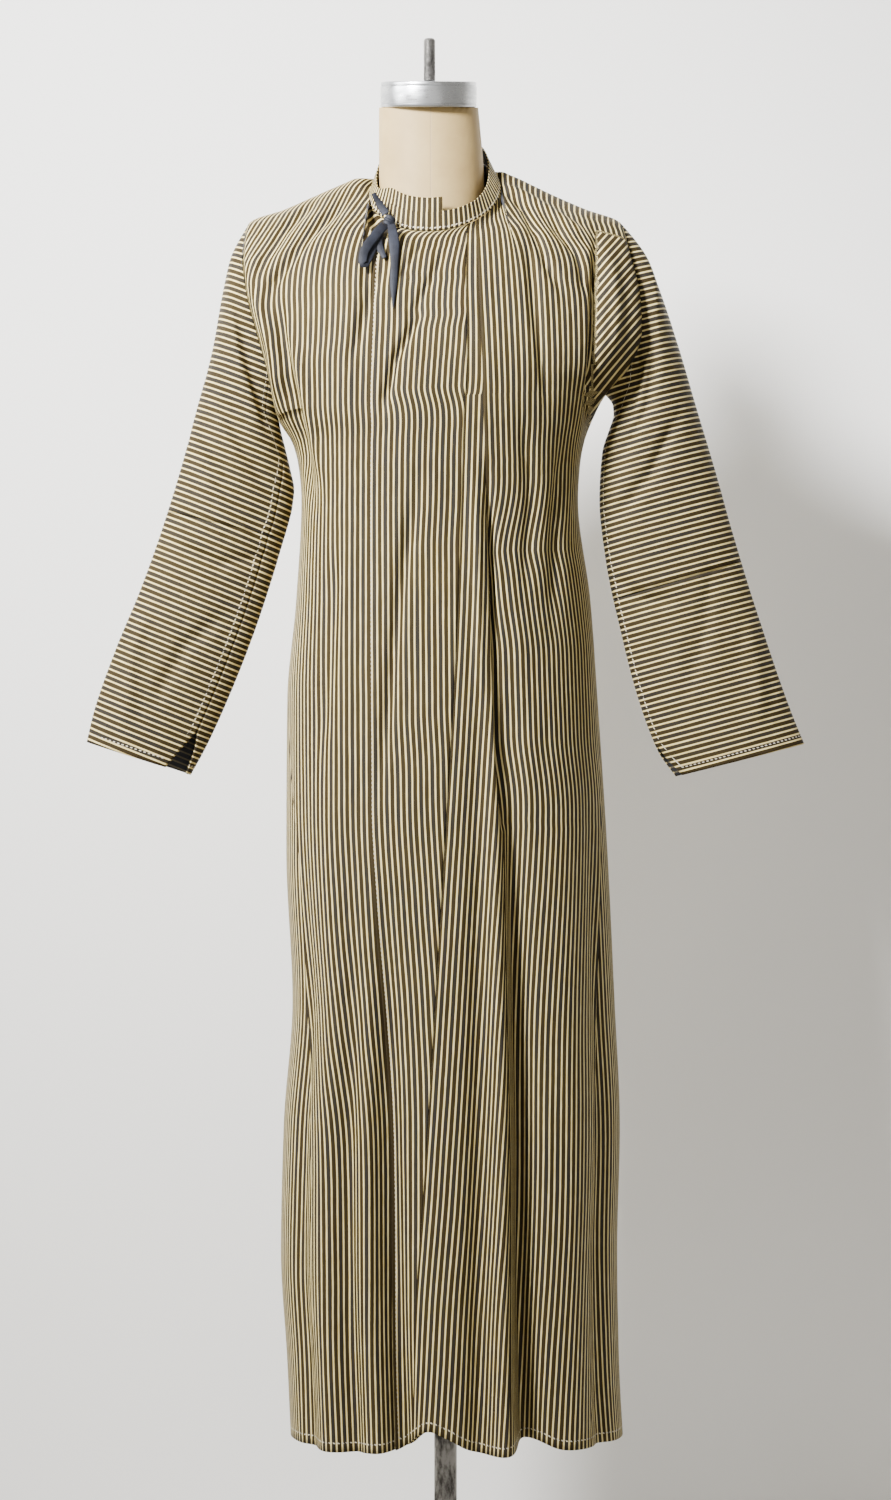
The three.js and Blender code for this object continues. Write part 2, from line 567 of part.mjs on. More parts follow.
// Half the opening between the two edges of a sleeve: the gusset, then the seam, then the cuff's vent.
function seamHalf(s) {
  if (s < GUSSET.end) return mix(GUSSET.half, GUSSET.tip, s / GUSSET.end) + SEAM_TURN / 2;
  if (s > VENT.start) return SEAM_TURN + VENT.half * Math.pow((s - VENT.start) / (CUFF - VENT.start), VENT.curve);
  return mix(GUSSET.tip + SEAM_TURN / 2, SEAM_TURN, ease((s - GUSSET.end) / 0.15));
}
for (const [name, arm] of Object.entries(SLEEVES)) {
  const cloth = arm.sign * CLOTH;
  const gap = SEAM / 2 / RING_STEP;
  const tube = (u, s) => {
    const half = seamHalf(s);
    return sleevePoint(arm, seamCentre(arm, s) + half + u * (360 - 2 * half), s);
  };
  const gussetRows = even(6, 0, GUSSET.end);
  const upperRows = [...gussetRows, ...even(5, GUSSET.end, arm.piecing - gap).slice(1)];
  const clampRows = (surface, last) => (u, s) => surface(u, clamp(s, 0, last));
  piece(`sleeve_${name}_upper`, wall(clampRows(tube, arm.piecing), even(14), upperRows, cloth, true), "cloth");
  piece(`sleeve_${name}_lower`, wall(clampRows(tube, CUFF), even(16), even(8, arm.piecing + gap, CUFF), cloth), "cloth");
  const under = (u, s) => {
    const half = mix(GUSSET.half, GUSSET.tip, s / GUSSET.end) - GUSSET.gap;
    return sleevePoint(arm, seamCentre(arm, s) + mix(-half, half, u), s);
  };
  piece(`gusset_${name}`, wall(clampRows(under, GUSSET.end), even(6), gussetRows, cloth), "cloth");
}

// ---------------------------------------------------------------- neckband
// The band runs once round the neck and a little more: its inner end starts in front, goes round by the
// right and the back, and its outer end closes over the start. The inner end stands higher.
const BAND = { start: 7.5, end: -405, step: 7.5, lean: 3, rise: 15, inset: 2.6, foot: 2.2, stack: 1.5 };
const BAND_UNDER = { from: -78, over: 33 }; // degrees where the outer end comes to lie over the band
function bandPoint(degrees, up) {
  const foot = neckline(degrees);
  const turn = degrees * RAD;
  const under = degrees > -90 ? ease((degrees - BAND_UNDER.from) / BAND_UNDER.over) : 0;
  const aside = new THREE.Vector3(Math.sin(turn), -Math.cos(turn), 0);
  const height = BAND_HEIGHT + BAND.rise * under;
  const lean = (BAND.lean * height) / BAND_HEIGHT;
  foot.addScaledVector(aside, -BAND.inset * under - lean * up);
  foot.z += BAND.foot + BAND.stack * under + height * up;
  return foot;
}
{
  const count = (BAND.start - BAND.end) / BAND.step;
  const surface = (u, v) => bandPoint(mix(BAND.start, BAND.end, u), v);
  piece("neckband", wall(surface, even(count), even(2), -CLOTH), "cloth");
}

// ---------------------------------------------------------------- ribbon tie
// Ribbons hang in front of the overlap: each is a flat strip along points with x, z and the distance it
// stands off the cloth.
const FLAT_TOP = 1572; // ribbons hang straight above this height, where the cloth leans back
function clothFront(x, z) {
  return depthAt(x, Math.min(z, FLAT_TOP), 1);
}
function ribbon(name, points, steps, width = RIBBON.width) {
  const curve = new THREE.CatmullRomCurve3(
    points.map((p) => new THREE.Vector3(p.x, clothFront(p.x, p.z) - p.off, p.z)),
    false,
    "centripetal",
  );
  const surface = (u, v) => {
    const point = curve.getPoint(v);
    const along = curve.getTangent(v);
    const across = new THREE.Vector3(along.z, 0, -along.x).normalize();
    return point.addScaledVector(across, (u - 0.5) * width);
  };
  piece(name, wall(surface, even(2), even(steps), RIBBON.thickness), "ribbon");
}
{
  const knot = { x: -62, z: 1569, off: 8, width: 7, depth: 4.5, height: 8.5, corner: 0.8, rings: 8, sides: 12 };
  const centre = new THREE.Vector3(knot.x, clothFront(knot.x, knot.z - 1) - knot.off, knot.z);
  const rings = [];
  for (let j = 1; j < knot.rings; j++) {
    const turn = (j / knot.rings) * Math.PI;
    rings.push(
      even(knot.sides)
        .slice(0, knot.sides)
        .map((t) => {
          const round = t * 2 * Math.PI;
          return new THREE.Vector3(
            centre.x + knot.width * power(Math.sin(turn), knot.corner) * power(Math.cos(round), knot.corner),
            centre.y + knot.depth * power(Math.sin(turn), knot.corner) * power(Math.sin(round), knot.corner),
            centre.z + knot.height * Math.cos(turn),
          );
        }),
    );
  }
  piece("tie_knot", loft(rings), "ribbon");
}
ribbon("tie_stem", [
  { x: -80, z: 1601, off: 7 },
  { x: -74, z: 1590, off: 5 },
  { x: -66, z: 1579.5, off: 7 },
], 5);
ribbon("tie_long_tail", [
  { x: -58, z: 1559.5, off: 9.5 },
  { x: -54, z: 1546, off: 7 },
  { x: -55, z: 1522, off: 4.5 },
  { x: -58, z: 1498, off: 3.5 },
  { x: -58, z: 1486, off: 3.5 },
], 8);
ribbon("tie_short_tail", [
  { x: -68, z: 1559, off: 5 },
  { x: -72, z: 1550, off: 4 },
  { x: -73, z: 1540, off: 3.5 },
], 4);
ribbon("tie_loop", [
  { x: -68, z: 1559, off: 10 },
  { x: -80, z: 1543, off: 12 },
  { x: -87, z: 1526, off: 12 },
  { x: -93, z: 1516, off: 9 },
  { x: -86, z: 1522, off: 5.5 },
  { x: -78, z: 1535, off: 5 },
], 12, 8);

// ---------------------------------------------------------------- dress form
// The torso stays clear of the cloth, and its neck stands up through the neckband.
const TORSO = [
  { z: TORSO_BOTTOM, right: 148, left: 148, front: 96, back: 104 },
  { z: 900, right: 152, left: 152, front: 98, back: 112 },
  { z: 980, right: 148, left: 142, front: 96, back: 112 },
  { z: 1080, right: 132, left: 126, front: 90, back: 98 },
  { z: 1170, right: 122, left: 118, front: 88, back: 86 },
  { z: 1264, right: 134, left: 130, front: 98, back: 92 },
  { z: 1330, right: 148, left: 138, front: 110, back: 100 },
  { z: 1400, right: 166, left: 160, front: 112, back: 108 },
  { z: 1450, right: 182, left: 180, front: 104, back: 108 },
  { z: 1489, right: 190, left: 184, front: 93, back: 104 },
  { z: 1530, right: 194, left: 182, front: 74, back: 98 },
  { z: 1552, right: 192, left: 178, front: 58, back: 92 },
  { z: 1566, right: 182, left: 166, front: 42, back: 86 },
  { z: 1577, right: 166, left: 146, front: 26, back: 82 },
  { z: 1591, right: 98, left: 94, front: 2, back: 74 },
  { z: 1606, right: 70, left: 62, front: -14, back: 60 },
  { z: 1622, right: 58, left: 40, front: -18, back: 44 },
];
const TORSO_ENDS = { front: 30, back: 34, y: 4 }; // half thickness of the arm caps, and where they end
const TORSO_CORNER = 2.2; // exponent of the torso's outline
const ARM_CAPS = { from: 1400, grow: 60, to: 1540, shrink: 37 }; // heights over which the caps show
const NECK_STARTS = 1540;
const TORSO_ENDS_AT = 1622; // only the neck stands above this height
const FAR = { drape: 300, torso: 260 }; // distances past any point of each
const NECK_RINGS = [
  { z: 1540, x: -14, width: 60, y: -2, depth: 47 },
  { z: 1600, x: -15, width: 59.5, y: -4, depth: 46 },
  { z: 1640, x: -16, width: 59, y: -5, depth: 45 },
  { z: 1706, x: -19, width: 56, y: -6, depth: 44 },
];
const FORM_SIDES = 40;
const CLEARANCE = 8; // between the torso and the drape of the body
{
  const hub = { x: -15, y: 4 };
  const caps = (z) => ease((z - ARM_CAPS.from) / ARM_CAPS.grow) * (1 - ease((z - ARM_CAPS.to) / ARM_CAPS.shrink));
  // distance from the hub to the drape of the body at a height and a direction
  const clothReach = (dx, dy, z) => {
    let low = 0;
    let high = FAR.drape;
    for (let i = 0; i < 24; i++) {
      const r = (low + high) / 2;
      const x = hub.x + dx * r;
      const y = hub.y + dy * r;
      const inside = Math.abs(x) < widthAt(x, z) && y > depthAt(x, z, 1) && y < depthAt(x, z, -1);
      if (inside) low = r;
      else high = r;
    }
    return low;
  };
  // distance from the hub to the torso's outline at a height and a direction
  const torsoReach = (dx, dy, z) => {
    if (z > TORSO_ENDS_AT) return 0;
    let low = 0;
    let high = FAR.torso;
    for (let i = 0; i < 30; i++) {
      const r = (low + high) / 2;
      const x = hub.x + dx * r;
      const y = hub.y + dy * r;
      const width = along(TORSO, "z", x < 0 ? "right" : "left", z);
      const back = y > TORSO_ENDS.y;
      const end = TORSO_ENDS.y + (back ? 1 : -1) * (back ? TORSO_ENDS.back : TORSO_ENDS.front) * caps(z);
      const middle = back ? along(TORSO, "z", "back", z) : -along(TORSO, "z", "front", z);
      const share = Math.abs(x) / width;
      const limit = share >= 1 ? TORSO_ENDS.y : mix(end, middle, Math.pow(1 - Math.pow(share, TORSO_CORNER), 1 / TORSO_CORNER));
      const inside = share < 1 && (back ? y < limit : y > limit);
      if (inside) low = r;
      else high = r;
    }
    return Math.min(low, clothReach(dx, dy, z) - CLEARANCE, clothReach(dx, dy, z + CLEARANCE) - CLEARANCE);
  };
  const neckReach = (dx, dy, z) => {
    const at = (column) => along(NECK_RINGS, "z", column, z);
    const ox = hub.x - at("x");
    const oy = hub.y - at("y");
    const a = (dx / at("width")) ** 2 + (dy / at("depth")) ** 2;
    const b = 2 * ((ox * dx) / at("width") ** 2 + (oy * dy) / at("depth") ** 2);
    const c = (ox / at("width")) ** 2 + (oy / at("depth")) ** 2 - 1;
    return (-b + Math.sqrt(b * b - 4 * a * c)) / (2 * a);
  };
  const heights = [TORSO_BOTTOM, 830, 900, 980, 1080, 1170, 1264, 1330, 1400, 1450, 1489, 1515, 1538, 1552, 1566, 1577, 1591, 1606, 1622, 1650, 1680];
  const ring = (z, inset = 1) =>
    even(FORM_SIDES)
      .slice(0, FORM_SIDES)
      .map((t) => {
        const turn = t * 2 * Math.PI;
        const dx = Math.cos(turn);
        const dy = Math.sin(turn);
        const torso = torsoReach(dx, dy, z);
        const neck = z > NECK_STARTS ? neckReach(dx, dy, z) : 0;
        const reach = Math.max(torso, neck) * inset;
        return new THREE.Vector3(hub.x + dx * reach, hub.y + dy * reach, z);
      });
  const rings = [ring(heights[0], 0.96), ...heights.slice(1).map((z) => ring(z))];
  // the top of the neck is cut to the tilt of the plate
  const top = ring(1704.2).map((p) => new THREE.Vector3(p.x, p.y, PLATE.z - SEAM + (p.y - PLATE.y) * Math.tan(PLATE.tilt)));
  rings.push(top);
  piece("form_body", loft(rings), "canvas");
}

// The neck plate: a turned disc with softened rims, tilted forward.
{
  const r = PLATE.radius;
  const h = PLATE.height;
  const outline = [[r - 1.5, 0], [r, 1.5], [r, h - 5], [r - 0.8, h - 4.4], [r - 0.8, h - 1.8], [r - 2.6, h]];
  const rings = outline.map(([radius, z]) =>
    even(TURNED_SIDES)
      .slice(0, TURNED_SIDES)
      .map((t) => new THREE.Vector3(radius * Math.cos(t * 2 * Math.PI), radius * Math.sin(t * 2 * Math.PI), z)),
  );
  const plate = loft(rings);
  plate.applyMatrix4(
    new THREE.Matrix4().makeTranslation(PLATE.x, PLATE.y, PLATE.z).multiply(new THREE.Matrix4().makeRotationX(PLATE.tilt)),
  );
  piece("neck_plate", plate, "plate");
}

// The rod above the plate: its foot is cut to the plate's tilt.
{
  const foot = PLATE.z + PLATE.height / Math.cos(PLATE.tilt) + SEAM + 0.1;
  const ring = (radius, z, tilted) =>
    even(24)
      .slice(0, 24)
      .map((t) => {
        const y = PLATE.y + radius * Math.sin(t * 2 * Math.PI);
        return new THREE.Vector3(ROD.x + radius * Math.cos(t * 2 * Math.PI), y, tilted ? z + (y - PLATE.y) * Math.tan(PLATE.tilt) : z);
      });
  piece("threaded_rod", loft([ring(ROD.radius, foot, true), ring(ROD.radius, ROD.top - 1, false), ring(ROD.radius - 1, ROD.top, false)]), "steel");
}

// ---------------------------------------------------------------- pole and base
{
  const rings = [BASE.height - BASE.socket, TORSO_BOTTOM - SEAM].map((z) =>
    even(32)
      .slice(0, 32)
      .map((t) => new THREE.Vector3(POLE_RADIUS * Math.cos(t * 2 * Math.PI), POLE_RADIUS * Math.sin(t * 2 * Math.PI), z)),
  );
  piece("pole", loft(rings), "steel");
}
{
  // the base is a shallow cone with a hub that the pole stands in
  const BORE = POLE_RADIUS + 0.4;
  const r = BASE.radius;
  const skin = [
    [r - 3, 0],
    [r, 3],
    [r, BASE.edge - 3],
    [r - 3, BASE.edge],
    [150, 11],
    [80, 16],
    [BASE.hub + 9, 23],
    [BASE.hub, 33],
    [BASE.hub - 2, BASE.height - 2],
    [BASE.hub - 4, BASE.height],
    [BORE, BASE.height],
    [BORE, BASE.height - BASE.socket - SEAM],
  ];
  const rings = skin.map(([radius, z]) =>
    even(TURNED_SIDES)
      .slice(0, TURNED_SIDES)
      .map((t) => new THREE.Vector3(radius * Math.cos(t * 2 * Math.PI), radius * Math.sin(t * 2 * Math.PI), z)),
  );
  piece("base", loft(rings), "iron");
}

kaftan.updateMatrixWorld(true);
export default kaftan;
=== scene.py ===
import math

import bpy
import numpy as np
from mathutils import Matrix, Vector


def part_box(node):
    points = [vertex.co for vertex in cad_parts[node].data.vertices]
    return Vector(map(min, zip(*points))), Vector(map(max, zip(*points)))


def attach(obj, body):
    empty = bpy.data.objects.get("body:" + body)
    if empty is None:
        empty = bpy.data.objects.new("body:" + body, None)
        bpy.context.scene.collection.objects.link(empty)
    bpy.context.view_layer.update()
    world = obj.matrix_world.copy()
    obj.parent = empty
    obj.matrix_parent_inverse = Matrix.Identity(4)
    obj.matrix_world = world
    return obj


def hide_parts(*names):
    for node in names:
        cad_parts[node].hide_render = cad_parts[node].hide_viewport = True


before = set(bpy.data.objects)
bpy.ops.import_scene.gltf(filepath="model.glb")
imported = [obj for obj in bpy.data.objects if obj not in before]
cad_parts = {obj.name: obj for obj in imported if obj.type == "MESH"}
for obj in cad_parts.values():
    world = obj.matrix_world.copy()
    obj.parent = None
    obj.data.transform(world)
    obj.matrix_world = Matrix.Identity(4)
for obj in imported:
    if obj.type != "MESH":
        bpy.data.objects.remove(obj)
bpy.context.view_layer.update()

# A long striped kaftan on a limbless dress form. Tables hold millimetres and the meshes are made in
# metres. +Z is up, the front faces -Y and +X is on the viewer's right.
MM = 0.001
CLOTH = 1.3  # thickness of a cloth sheet
SEAM = 0.3
UNDERLAP = 4.2
HEM = 216
TIP = 1577  # height of the shoulder tips
ARMPIT = {"right": 1358, "left": 1382}
ROUNDNESS = 0.86
PITCH = 6.3  # from one cream stripe to the next
BAND_HEIGHT = 21
NIGHT = (0.008, 0.009, 0.014)


# ---------------------------------------------------------------- small sums
def mix(a, b, t):
    return a + (b - a) * t


def ease(x):
    t = np.clip(x, 0, 1)
    return t * t * (3 - 2 * t)


def power(x, exponent=ROUNDNESS):
    return np.sign(x) * np.abs(x) ** exponent


def apart(a, b):
    return (a - b + 180) % 360 - 180


def curve(rows, key, column):
    """A smooth curve through one column of a table, as a function of its key."""
    x = np.array([row[key] for row in rows], float)
    y = np.array([row[column] for row in rows], float)
    slope = np.diff(y) / np.diff(x)
    before = np.r_[slope[:1], slope]
    after = np.r_[slope, slope[-1:]]
    same = before * after > 0
    tangent = np.where(same, 2 * before * after / np.where(same, before + after, 1), 0)

    def at(value):
        value = np.clip(value, x[0], x[-1])
        i = np.clip(np.searchsorted(x, value) - 1, 0, len(slope) - 1)
        step = x[i + 1] - x[i]
        t = (value - x[i]) / step
        start = (1 + 2 * t) * (1 - t) ** 2 * y[i] + t * (1 - t) ** 2 * step * tangent[i]
        return start + t * t * (3 - 2 * t) * y[i + 1] + t * t * (t - 1) * step * tangent[i + 1]

    return at


def table(columns, *rows):
    return [dict(zip(columns.split(), row)) for row in rows]


# ---------------------------------------------------------------- the body of the kaftan
SECTIONS = table(
    "z right left front back",
    (170, 172, 202, 140, 150),
    (300, 178, 195, 135, 146),
    (420, 185, 193, 131, 143),
    (560, 182, 196, 128, 140),
    (702, 172, 190, 125, 137),
    (870, 179, 182, 123, 134),
    (1039, 178, 171, 120, 128),
    (1150, 168, 163, 118, 121),
    (1264, 162, 149, 121, 116),
    (1300, 165, 151, 124, 116),
    (1325, 171, 155, 125, 117),
    (1358, 188, 167, 127, 119),
    (1382, 194, 180, 127, 120),
    (1410, 200, 205, 126, 121),
    (1450, 211, 219, 120, 121),
    (1489, 221, 217, 109, 118),
    (1530, 226, 208, 92, 112),
    (1558, 224, 201, 73, 106),
    (TIP, 219, 195, 49, 101),
    (1591, 183, 160, 31, 96),
    (1608, 147, 123, 9, 88),
    (1627, 106, 86, -12, 75),
    (1640, 79, 61, -22, 65),
    (1660, 66, 50, -26, 58),
)
WIDTH = {side: curve(SECTIONS, "z", side) for side in ("right", "left")}
DEPTH = {side: curve(SECTIONS, "z", side) for side in ("front", "back")}
ARMHOLE_DEPTH = {"front": 48, "back": 52}
RIDGE_Y = {"tip": 4, "neck": 22, "neckZ": 1636}

# Folds round the body, in degrees from the front, deepest at the hem.
FOLDS = table(
    "degrees top endDegrees bottom half depth",
    (-42, 1150, -43, 200, 8, 9),
    (-33, 1000, -32, 200, 5, -10),
    (-27, 1000, -20.5, 200, 7, 9),
    (-21, 960, -12.5, 200, 5, -19),
    (0, 1000, -1, 200, 9, 8),
    (10, 1290, 8.5, 200, 4, -11),
    (14, 1250, 15.5, 200, 5, 19),
    (18.5, 1310, 24.5, 200, 5, -29),
    (40, 1180, 41, 200, 12, 11),
    (62, 1150, 59, 200, 7, -9),
    (112, 1200, 110, 200, 9, -14),
    (133, 1240, 131, 200, 11, 11),
    (152, 1300, 150, 200, 8, -16),
    (176, 1330, 173, 200, 10, 11),
    (199, 1300, 196, 200, 8, -17),
    (221, 1260, 219, 200, 10, 10),
    (241, 1180, 243, 200, 8, -13),
    (-60, 1100, -57, 200, 6, -7),
)
HEM_DIPS = table(
    "degrees half dip",
    (-40, 20, -3),
    (-4, 7, 24),
    (14, 8, -3),
    (26, 6, 12),
    (135, 24, -7),
    (205, 20, -8),
)

# Creases across the front and the back: soft troughs and ridges along lines of x and z.
FRONT_CREASES = [
    {"path": [(-64, 1528), (-88, 1466), (-108, 1402)], "half": 7, "depth": -4},
    {"path": [(-20, 1476), (-55, 1411), (-72, 1346)], "half": 5, "depth": -7},
    {"path": [(-29, 1286), (-50, 1158), (-74, 930)], "half": 8, "depth": -6},
    {"path": [(58, 1622), (88, 1590), (112, 1520), (136, 1476)], "half": 6, "depth": -6},
    {"path": [(112, 1577), (146, 1534), (158, 1480)], "half": 6, "depth": -6},
    {"path": [(92, 1556), (98, 1480), (113, 1354)], "half": 7, "depth": -6},
    {"path": [(54, 1625), (88, 1606), (127, 1577), (163, 1548)], "half": 6, "depth": 5},
    {"path": [(168, 1560), (166, 1480), (163, 1400), (158, 1330)], "half": 6, "depth": -12},
    {"path": [(182, 1540), (190, 1470), (182, 1410)], "half": 9, "depth": 6},
    {"path": [(-103, 1606), (-148, 1558), (-193, 1498), (-197, 1461)], "half": 7, "depth": -6},
    {"path": [(-142, 1606), (-179, 1561), (-211, 1506)], "half": 7, "depth": -5},
    {"path": [(-212, 1545), (-216, 1500), (-192, 1430), (-178, 1330)], "half": 8, "depth": 6},
    {"path": [(-188, 1500), (-182, 1440), (-160, 1330), (-146, 1250)], "half": 8, "depth": -7},
    {"path": [(-172, 1450), (-156, 1380), (-132, 1270)], "half": 8, "depth": 5},
    {"path": [(46, 1290), (52, 1200), (58, 1040), (64, 900)], "half": 4.5, "depth": -16},
    {"path": [(32, 1300), (36, 1180), (40, 1020)], "half": 8, "depth": 6},
    {"path": [(84, 1360), (96, 1260), (88, 1150)], "half": 10, "depth": -5},
    {"path": [(0, 1538), (-14, 1505), (-42, 1450)], "half": 4, "depth": -5},
    {"path": [(-26, 1545), (-40, 1522), (-52, 1500)], "half": 3.5, "depth": -4},
    {"path": [(132, 1330), (122, 1240), (120, 1120)], "half": 9, "depth": -5},
    {"path": [(-120, 1220), (-128, 1100), (-140, 960)], "half": 10, "depth": -4},
]
BACK_CREASES = [
    {"path": [(-150, 1580), (-170, 1500), (-150, 1400)], "half": 9, "depth": -6},
    {"path": [(130, 1570), (165, 1500), (150, 1390)], "half": 9, "depth": -7},
    {"path": [(-60, 1560), (-90, 1440), (-80, 1300)], "half": 10, "depth": -4},
    {"path": [(70, 1540), (96, 1430), (84, 1290)], "half": 9, "depth": -5},
    {"path": [(-20, 1480), (-30, 1340), (-14, 1200)], "half": 11, "depth": -4},
    {"path": [(30, 1500), (44, 1360), (30, 1220)], "half": 9, "depth": 4},
    {"path": [(-186, 1440), (-160, 1340), (-150, 1240)], "half": 9, "depth": -6},
    {"path": [(180, 1430), (150, 1330), (140, 1230)], "half": 8, "depth": -6},
]


def crease_at(x, z, creases):
    """How far the creases push the cloth out at x and z."""
    out = np.zeros(np.shape(x))
    for crease in creases:
        path = np.array(crease["path"], float)
        length = np.r_[0, np.cumsum(np.hypot(*np.diff(path, axis=0).T))]
        nearest = np.full(np.shape(x), 1e9)
        where = np.zeros(np.shape(x))
        for (x0, z0), (x1, z1), start, end in zip(path, path[1:], length, length[1:]):
            dx, dz = x1 - x0, z1 - z0
            t = np.clip(((x - x0) * dx + (z - z0) * dz) / (dx * dx + dz * dz), 0, 1)
            away = np.hypot(x - x0 - t * dx, z - z0 - t * dz)
            closer = away < nearest
            where = np.where(closer, mix(start, end, t) / length[-1], where)
            nearest = np.where(closer, away, nearest)
        fade = ease(where / 0.25) * ease((1 - where) / 0.25) * 0.85 + 0.15
        out += crease["depth"] * fade * np.exp(-1.4 * (nearest / crease["half"]) ** 2)
    return out


def fold_at(degrees, z):
    depth = np.zeros(np.shape(degrees))
    for fold in FOLDS:
        share = np.clip((fold["top"] - z) / (fold["top"] - fold["bottom"]), 0, 1)
        off = apart(degrees, mix(fold["degrees"], fold["endDegrees"], share)) / fold["half"]
        depth += fold["depth"] * ease(share * 1.7) * (0.45 + 0.55 * share) * np.exp(-1.4 * off * off)
    return depth


def hem_at(degrees):
    z = np.full(np.shape(degrees), float(HEM))
    for dip in HEM_DIPS:
        z += dip["dip"] * np.exp(-((apart(degrees, dip["degrees"]) / dip["half"]) ** 2))
    return z


def width_at(x, z):
    return np.where(x < 0, WIDTH["right"](z), WIDTH["left"](z))


def armpit_at(x):
    return np.where(x < 0, ARMPIT["right"], ARMPIT["left"])


def edge_y(x, z, side):
    """Where the front or back stops at the side: on the armhole, or on the shoulder's ridge above it."""
    up = np.clip((z - armpit_at(x)) / (TIP - armpit_at(x)), 0, 1)
    ridge = np.clip((z - TIP) / (RIDGE_Y["neckZ"] - TIP), 0, 1)
    above = mix(RIDGE_Y["tip"], RIDGE_Y["neck"], ridge)
    round_ = np.maximum(0, 1 - np.abs(2 * up - 1) ** (2 / ROUNDNESS)) ** (ROUNDNESS / 2)
    depth = np.where(np.asarray(side) > 0, ARMHOLE_DEPTH["front"], ARMHOLE_DEPTH["back"])
    return np.where(z > TIP, above, RIDGE_Y["tip"] * up - side * depth * round_)


def depth_at(x, z, side, settle=1.0):
    share = np.clip(np.abs(x) / width_at(x, z), 0, 1)
    round_ = (1 - share ** (2 / ROUNDNESS)) ** (ROUNDNESS / 2)
    middle = np.where(np.asarray(side) > 0, -DEPTH["front"](z), DEPTH["back"](z))
    return middle * round_ + edge_y(x, z, side) * (1 - round_) * share**6 * settle


def share_at_x(x, z):
    turn = np.degrees(np.arcsin(np.clip(np.abs(x) / width_at(x, z), 0, 1) ** (1 / ROUNDNESS)))
    return (90 + np.sign(x) * turn) / 180


# ---------------------------------------------------------------- neckline and top edge
NECKLINE = {"x": -12, "y": -6, "width": 74, "depth": 66, "z": 1608.5}
NECK_FALL = {"front": 51, "back": 41.5, "slant": 4.5, "bump": 16}
NECK_SIDE = 115
RIDGE_SHARE = 0.3


def neckline(degrees):
    turn = np.radians(degrees)
    ahead = np.cos(turn)
    fall = np.where(ahead > 0, NECK_FALL["front"], NECK_FALL["back"])
    behind = np.maximum(0, -ahead) * np.abs(np.sin(turn))
    z = NECKLINE["z"] - fall * ahead + NECK_FALL["slant"] * np.sin(turn) + NECK_FALL["bump"] * behind
    x = NECKLINE["x"] + NECKLINE["width"] * np.sin(turn)
    return x, NECKLINE["y"] - NECKLINE["depth"] * ahead, z


def ridge_z(x):
    low = np.full(np.shape(x), float(TIP))
    high = np.full(np.shape(x), 1645.0)
    for _ in range(30):
        middle = (low + high) / 2
        inside = width_at(x, middle) > np.abs(x)
        low = np.where(inside, middle, low)
        high = np.where(inside, high, middle)
    return (low + high) / 2


def top_edge(share, side):
    within = (share - RIDGE_SHARE) / (1 - 2 * RIDGE_SHARE)
    turn = mix(-NECK_SIDE, NECK_SIDE, np.clip(within, 0, 1))
    behind = np.where(turn < 0, -180, 180) - turn * (180 - NECK_SIDE) / NECK_SIDE
    nx, ny, nz = neckline(np.where(np.asarray(side) > 0, turn, behind))
    right = share < 0.5
    neck_x, _, neck_z = neckline(np.where(right, -NECK_SIDE, NECK_SIDE))
    tip_x = np.where(right, -WIDTH["right"](TIP), WIDTH["left"](TIP))
    x = mix(tip_x, neck_x, np.clip(np.where(right, share, 1 - share) / RIDGE_SHARE, 0, 1))
    z = ridge_z(x)
    on_neck = (within >= 0) & (within <= 1)
    return (
        np.where(on_neck, nx, x),
        np.where(on_neck, ny, edge_y(x, z, side)),
        np.where(on_neck, nz, np.minimum(z, neck_z)),
    )


# ---------------------------------------------------------------- the drape of the body
BODY_ROWS = 14
ARM_ROWS = 10
GORE_ROWS = 13
BELOW = BODY_ROWS / (BODY_ROWS + ARM_ROWS)


def chest_z(share):
    return mix(ARMPIT["right"], ARMPIT["left"], ease(share))


def drape(share, v, side):
    """Points of the front (side 1) or back (side -1): share runs from right to left, v from hem to top."""
    share = np.clip(share, 0, 1) + 0 * v
    degrees = np.where(np.asarray(side) > 0, 180 * share - 90, -90 - 180 * share)
    turn = np.radians(degrees)
    flat = np.sin(turn)
    chest = chest_z(share)
    z = mix(hem_at(degrees), chest, np.minimum(v / BELOW, 1))
    width = width_at(flat, z)
    depth = np.where(np.asarray(side) > 0, DEPTH["front"](z), DEPTH["back"](z))
    out = np.stack([flat / width, -np.cos(turn) / depth])
    out = out / np.linalg.norm(out, axis=0) * fold_at(degrees, z)
    low = np.stack([width * power(flat) + out[0], -depth * power(np.cos(turn)) + out[1], z])

    rise = np.clip((v - BELOW) / (1 - BELOW), 0, 1)
    up = (1 - power(np.cos(rise * np.pi))) / 2
    start = width_at(flat, chest) * power(flat)
    top_x, top_y, top_z = top_edge(share, side)
    z = mix(chest, top_z, up)
    sign = np.where(share < 0.5, -1, 1)
    end_chest = np.where(share < 0.5, ARMPIT["right"], ARMPIT["left"])
    straight = mix(width_at(sign, end_chest), width_at(sign, TIP), up)
    bow = width_at(sign, mix(armpit_at(sign), TIP, up)) - straight
    x = mix(start, top_x, up) + sign * bow * np.abs(2 * share - 1) ** 6
    near = ease((up - 0.88) / 0.12) * ease((0.24 - np.abs(share - 0.5)) / 0.05)
    out_x = np.clip(np.abs(x) / width_at(x, z), 0, 1)
    settle = mix(ease(up / 0.2), 1, out_x**16)
    high = np.stack([x, mix(depth_at(x, z, side, settle), top_y, near), z])
    return np.moveaxis(np.where(v <= BELOW, low, high), 0, -1)


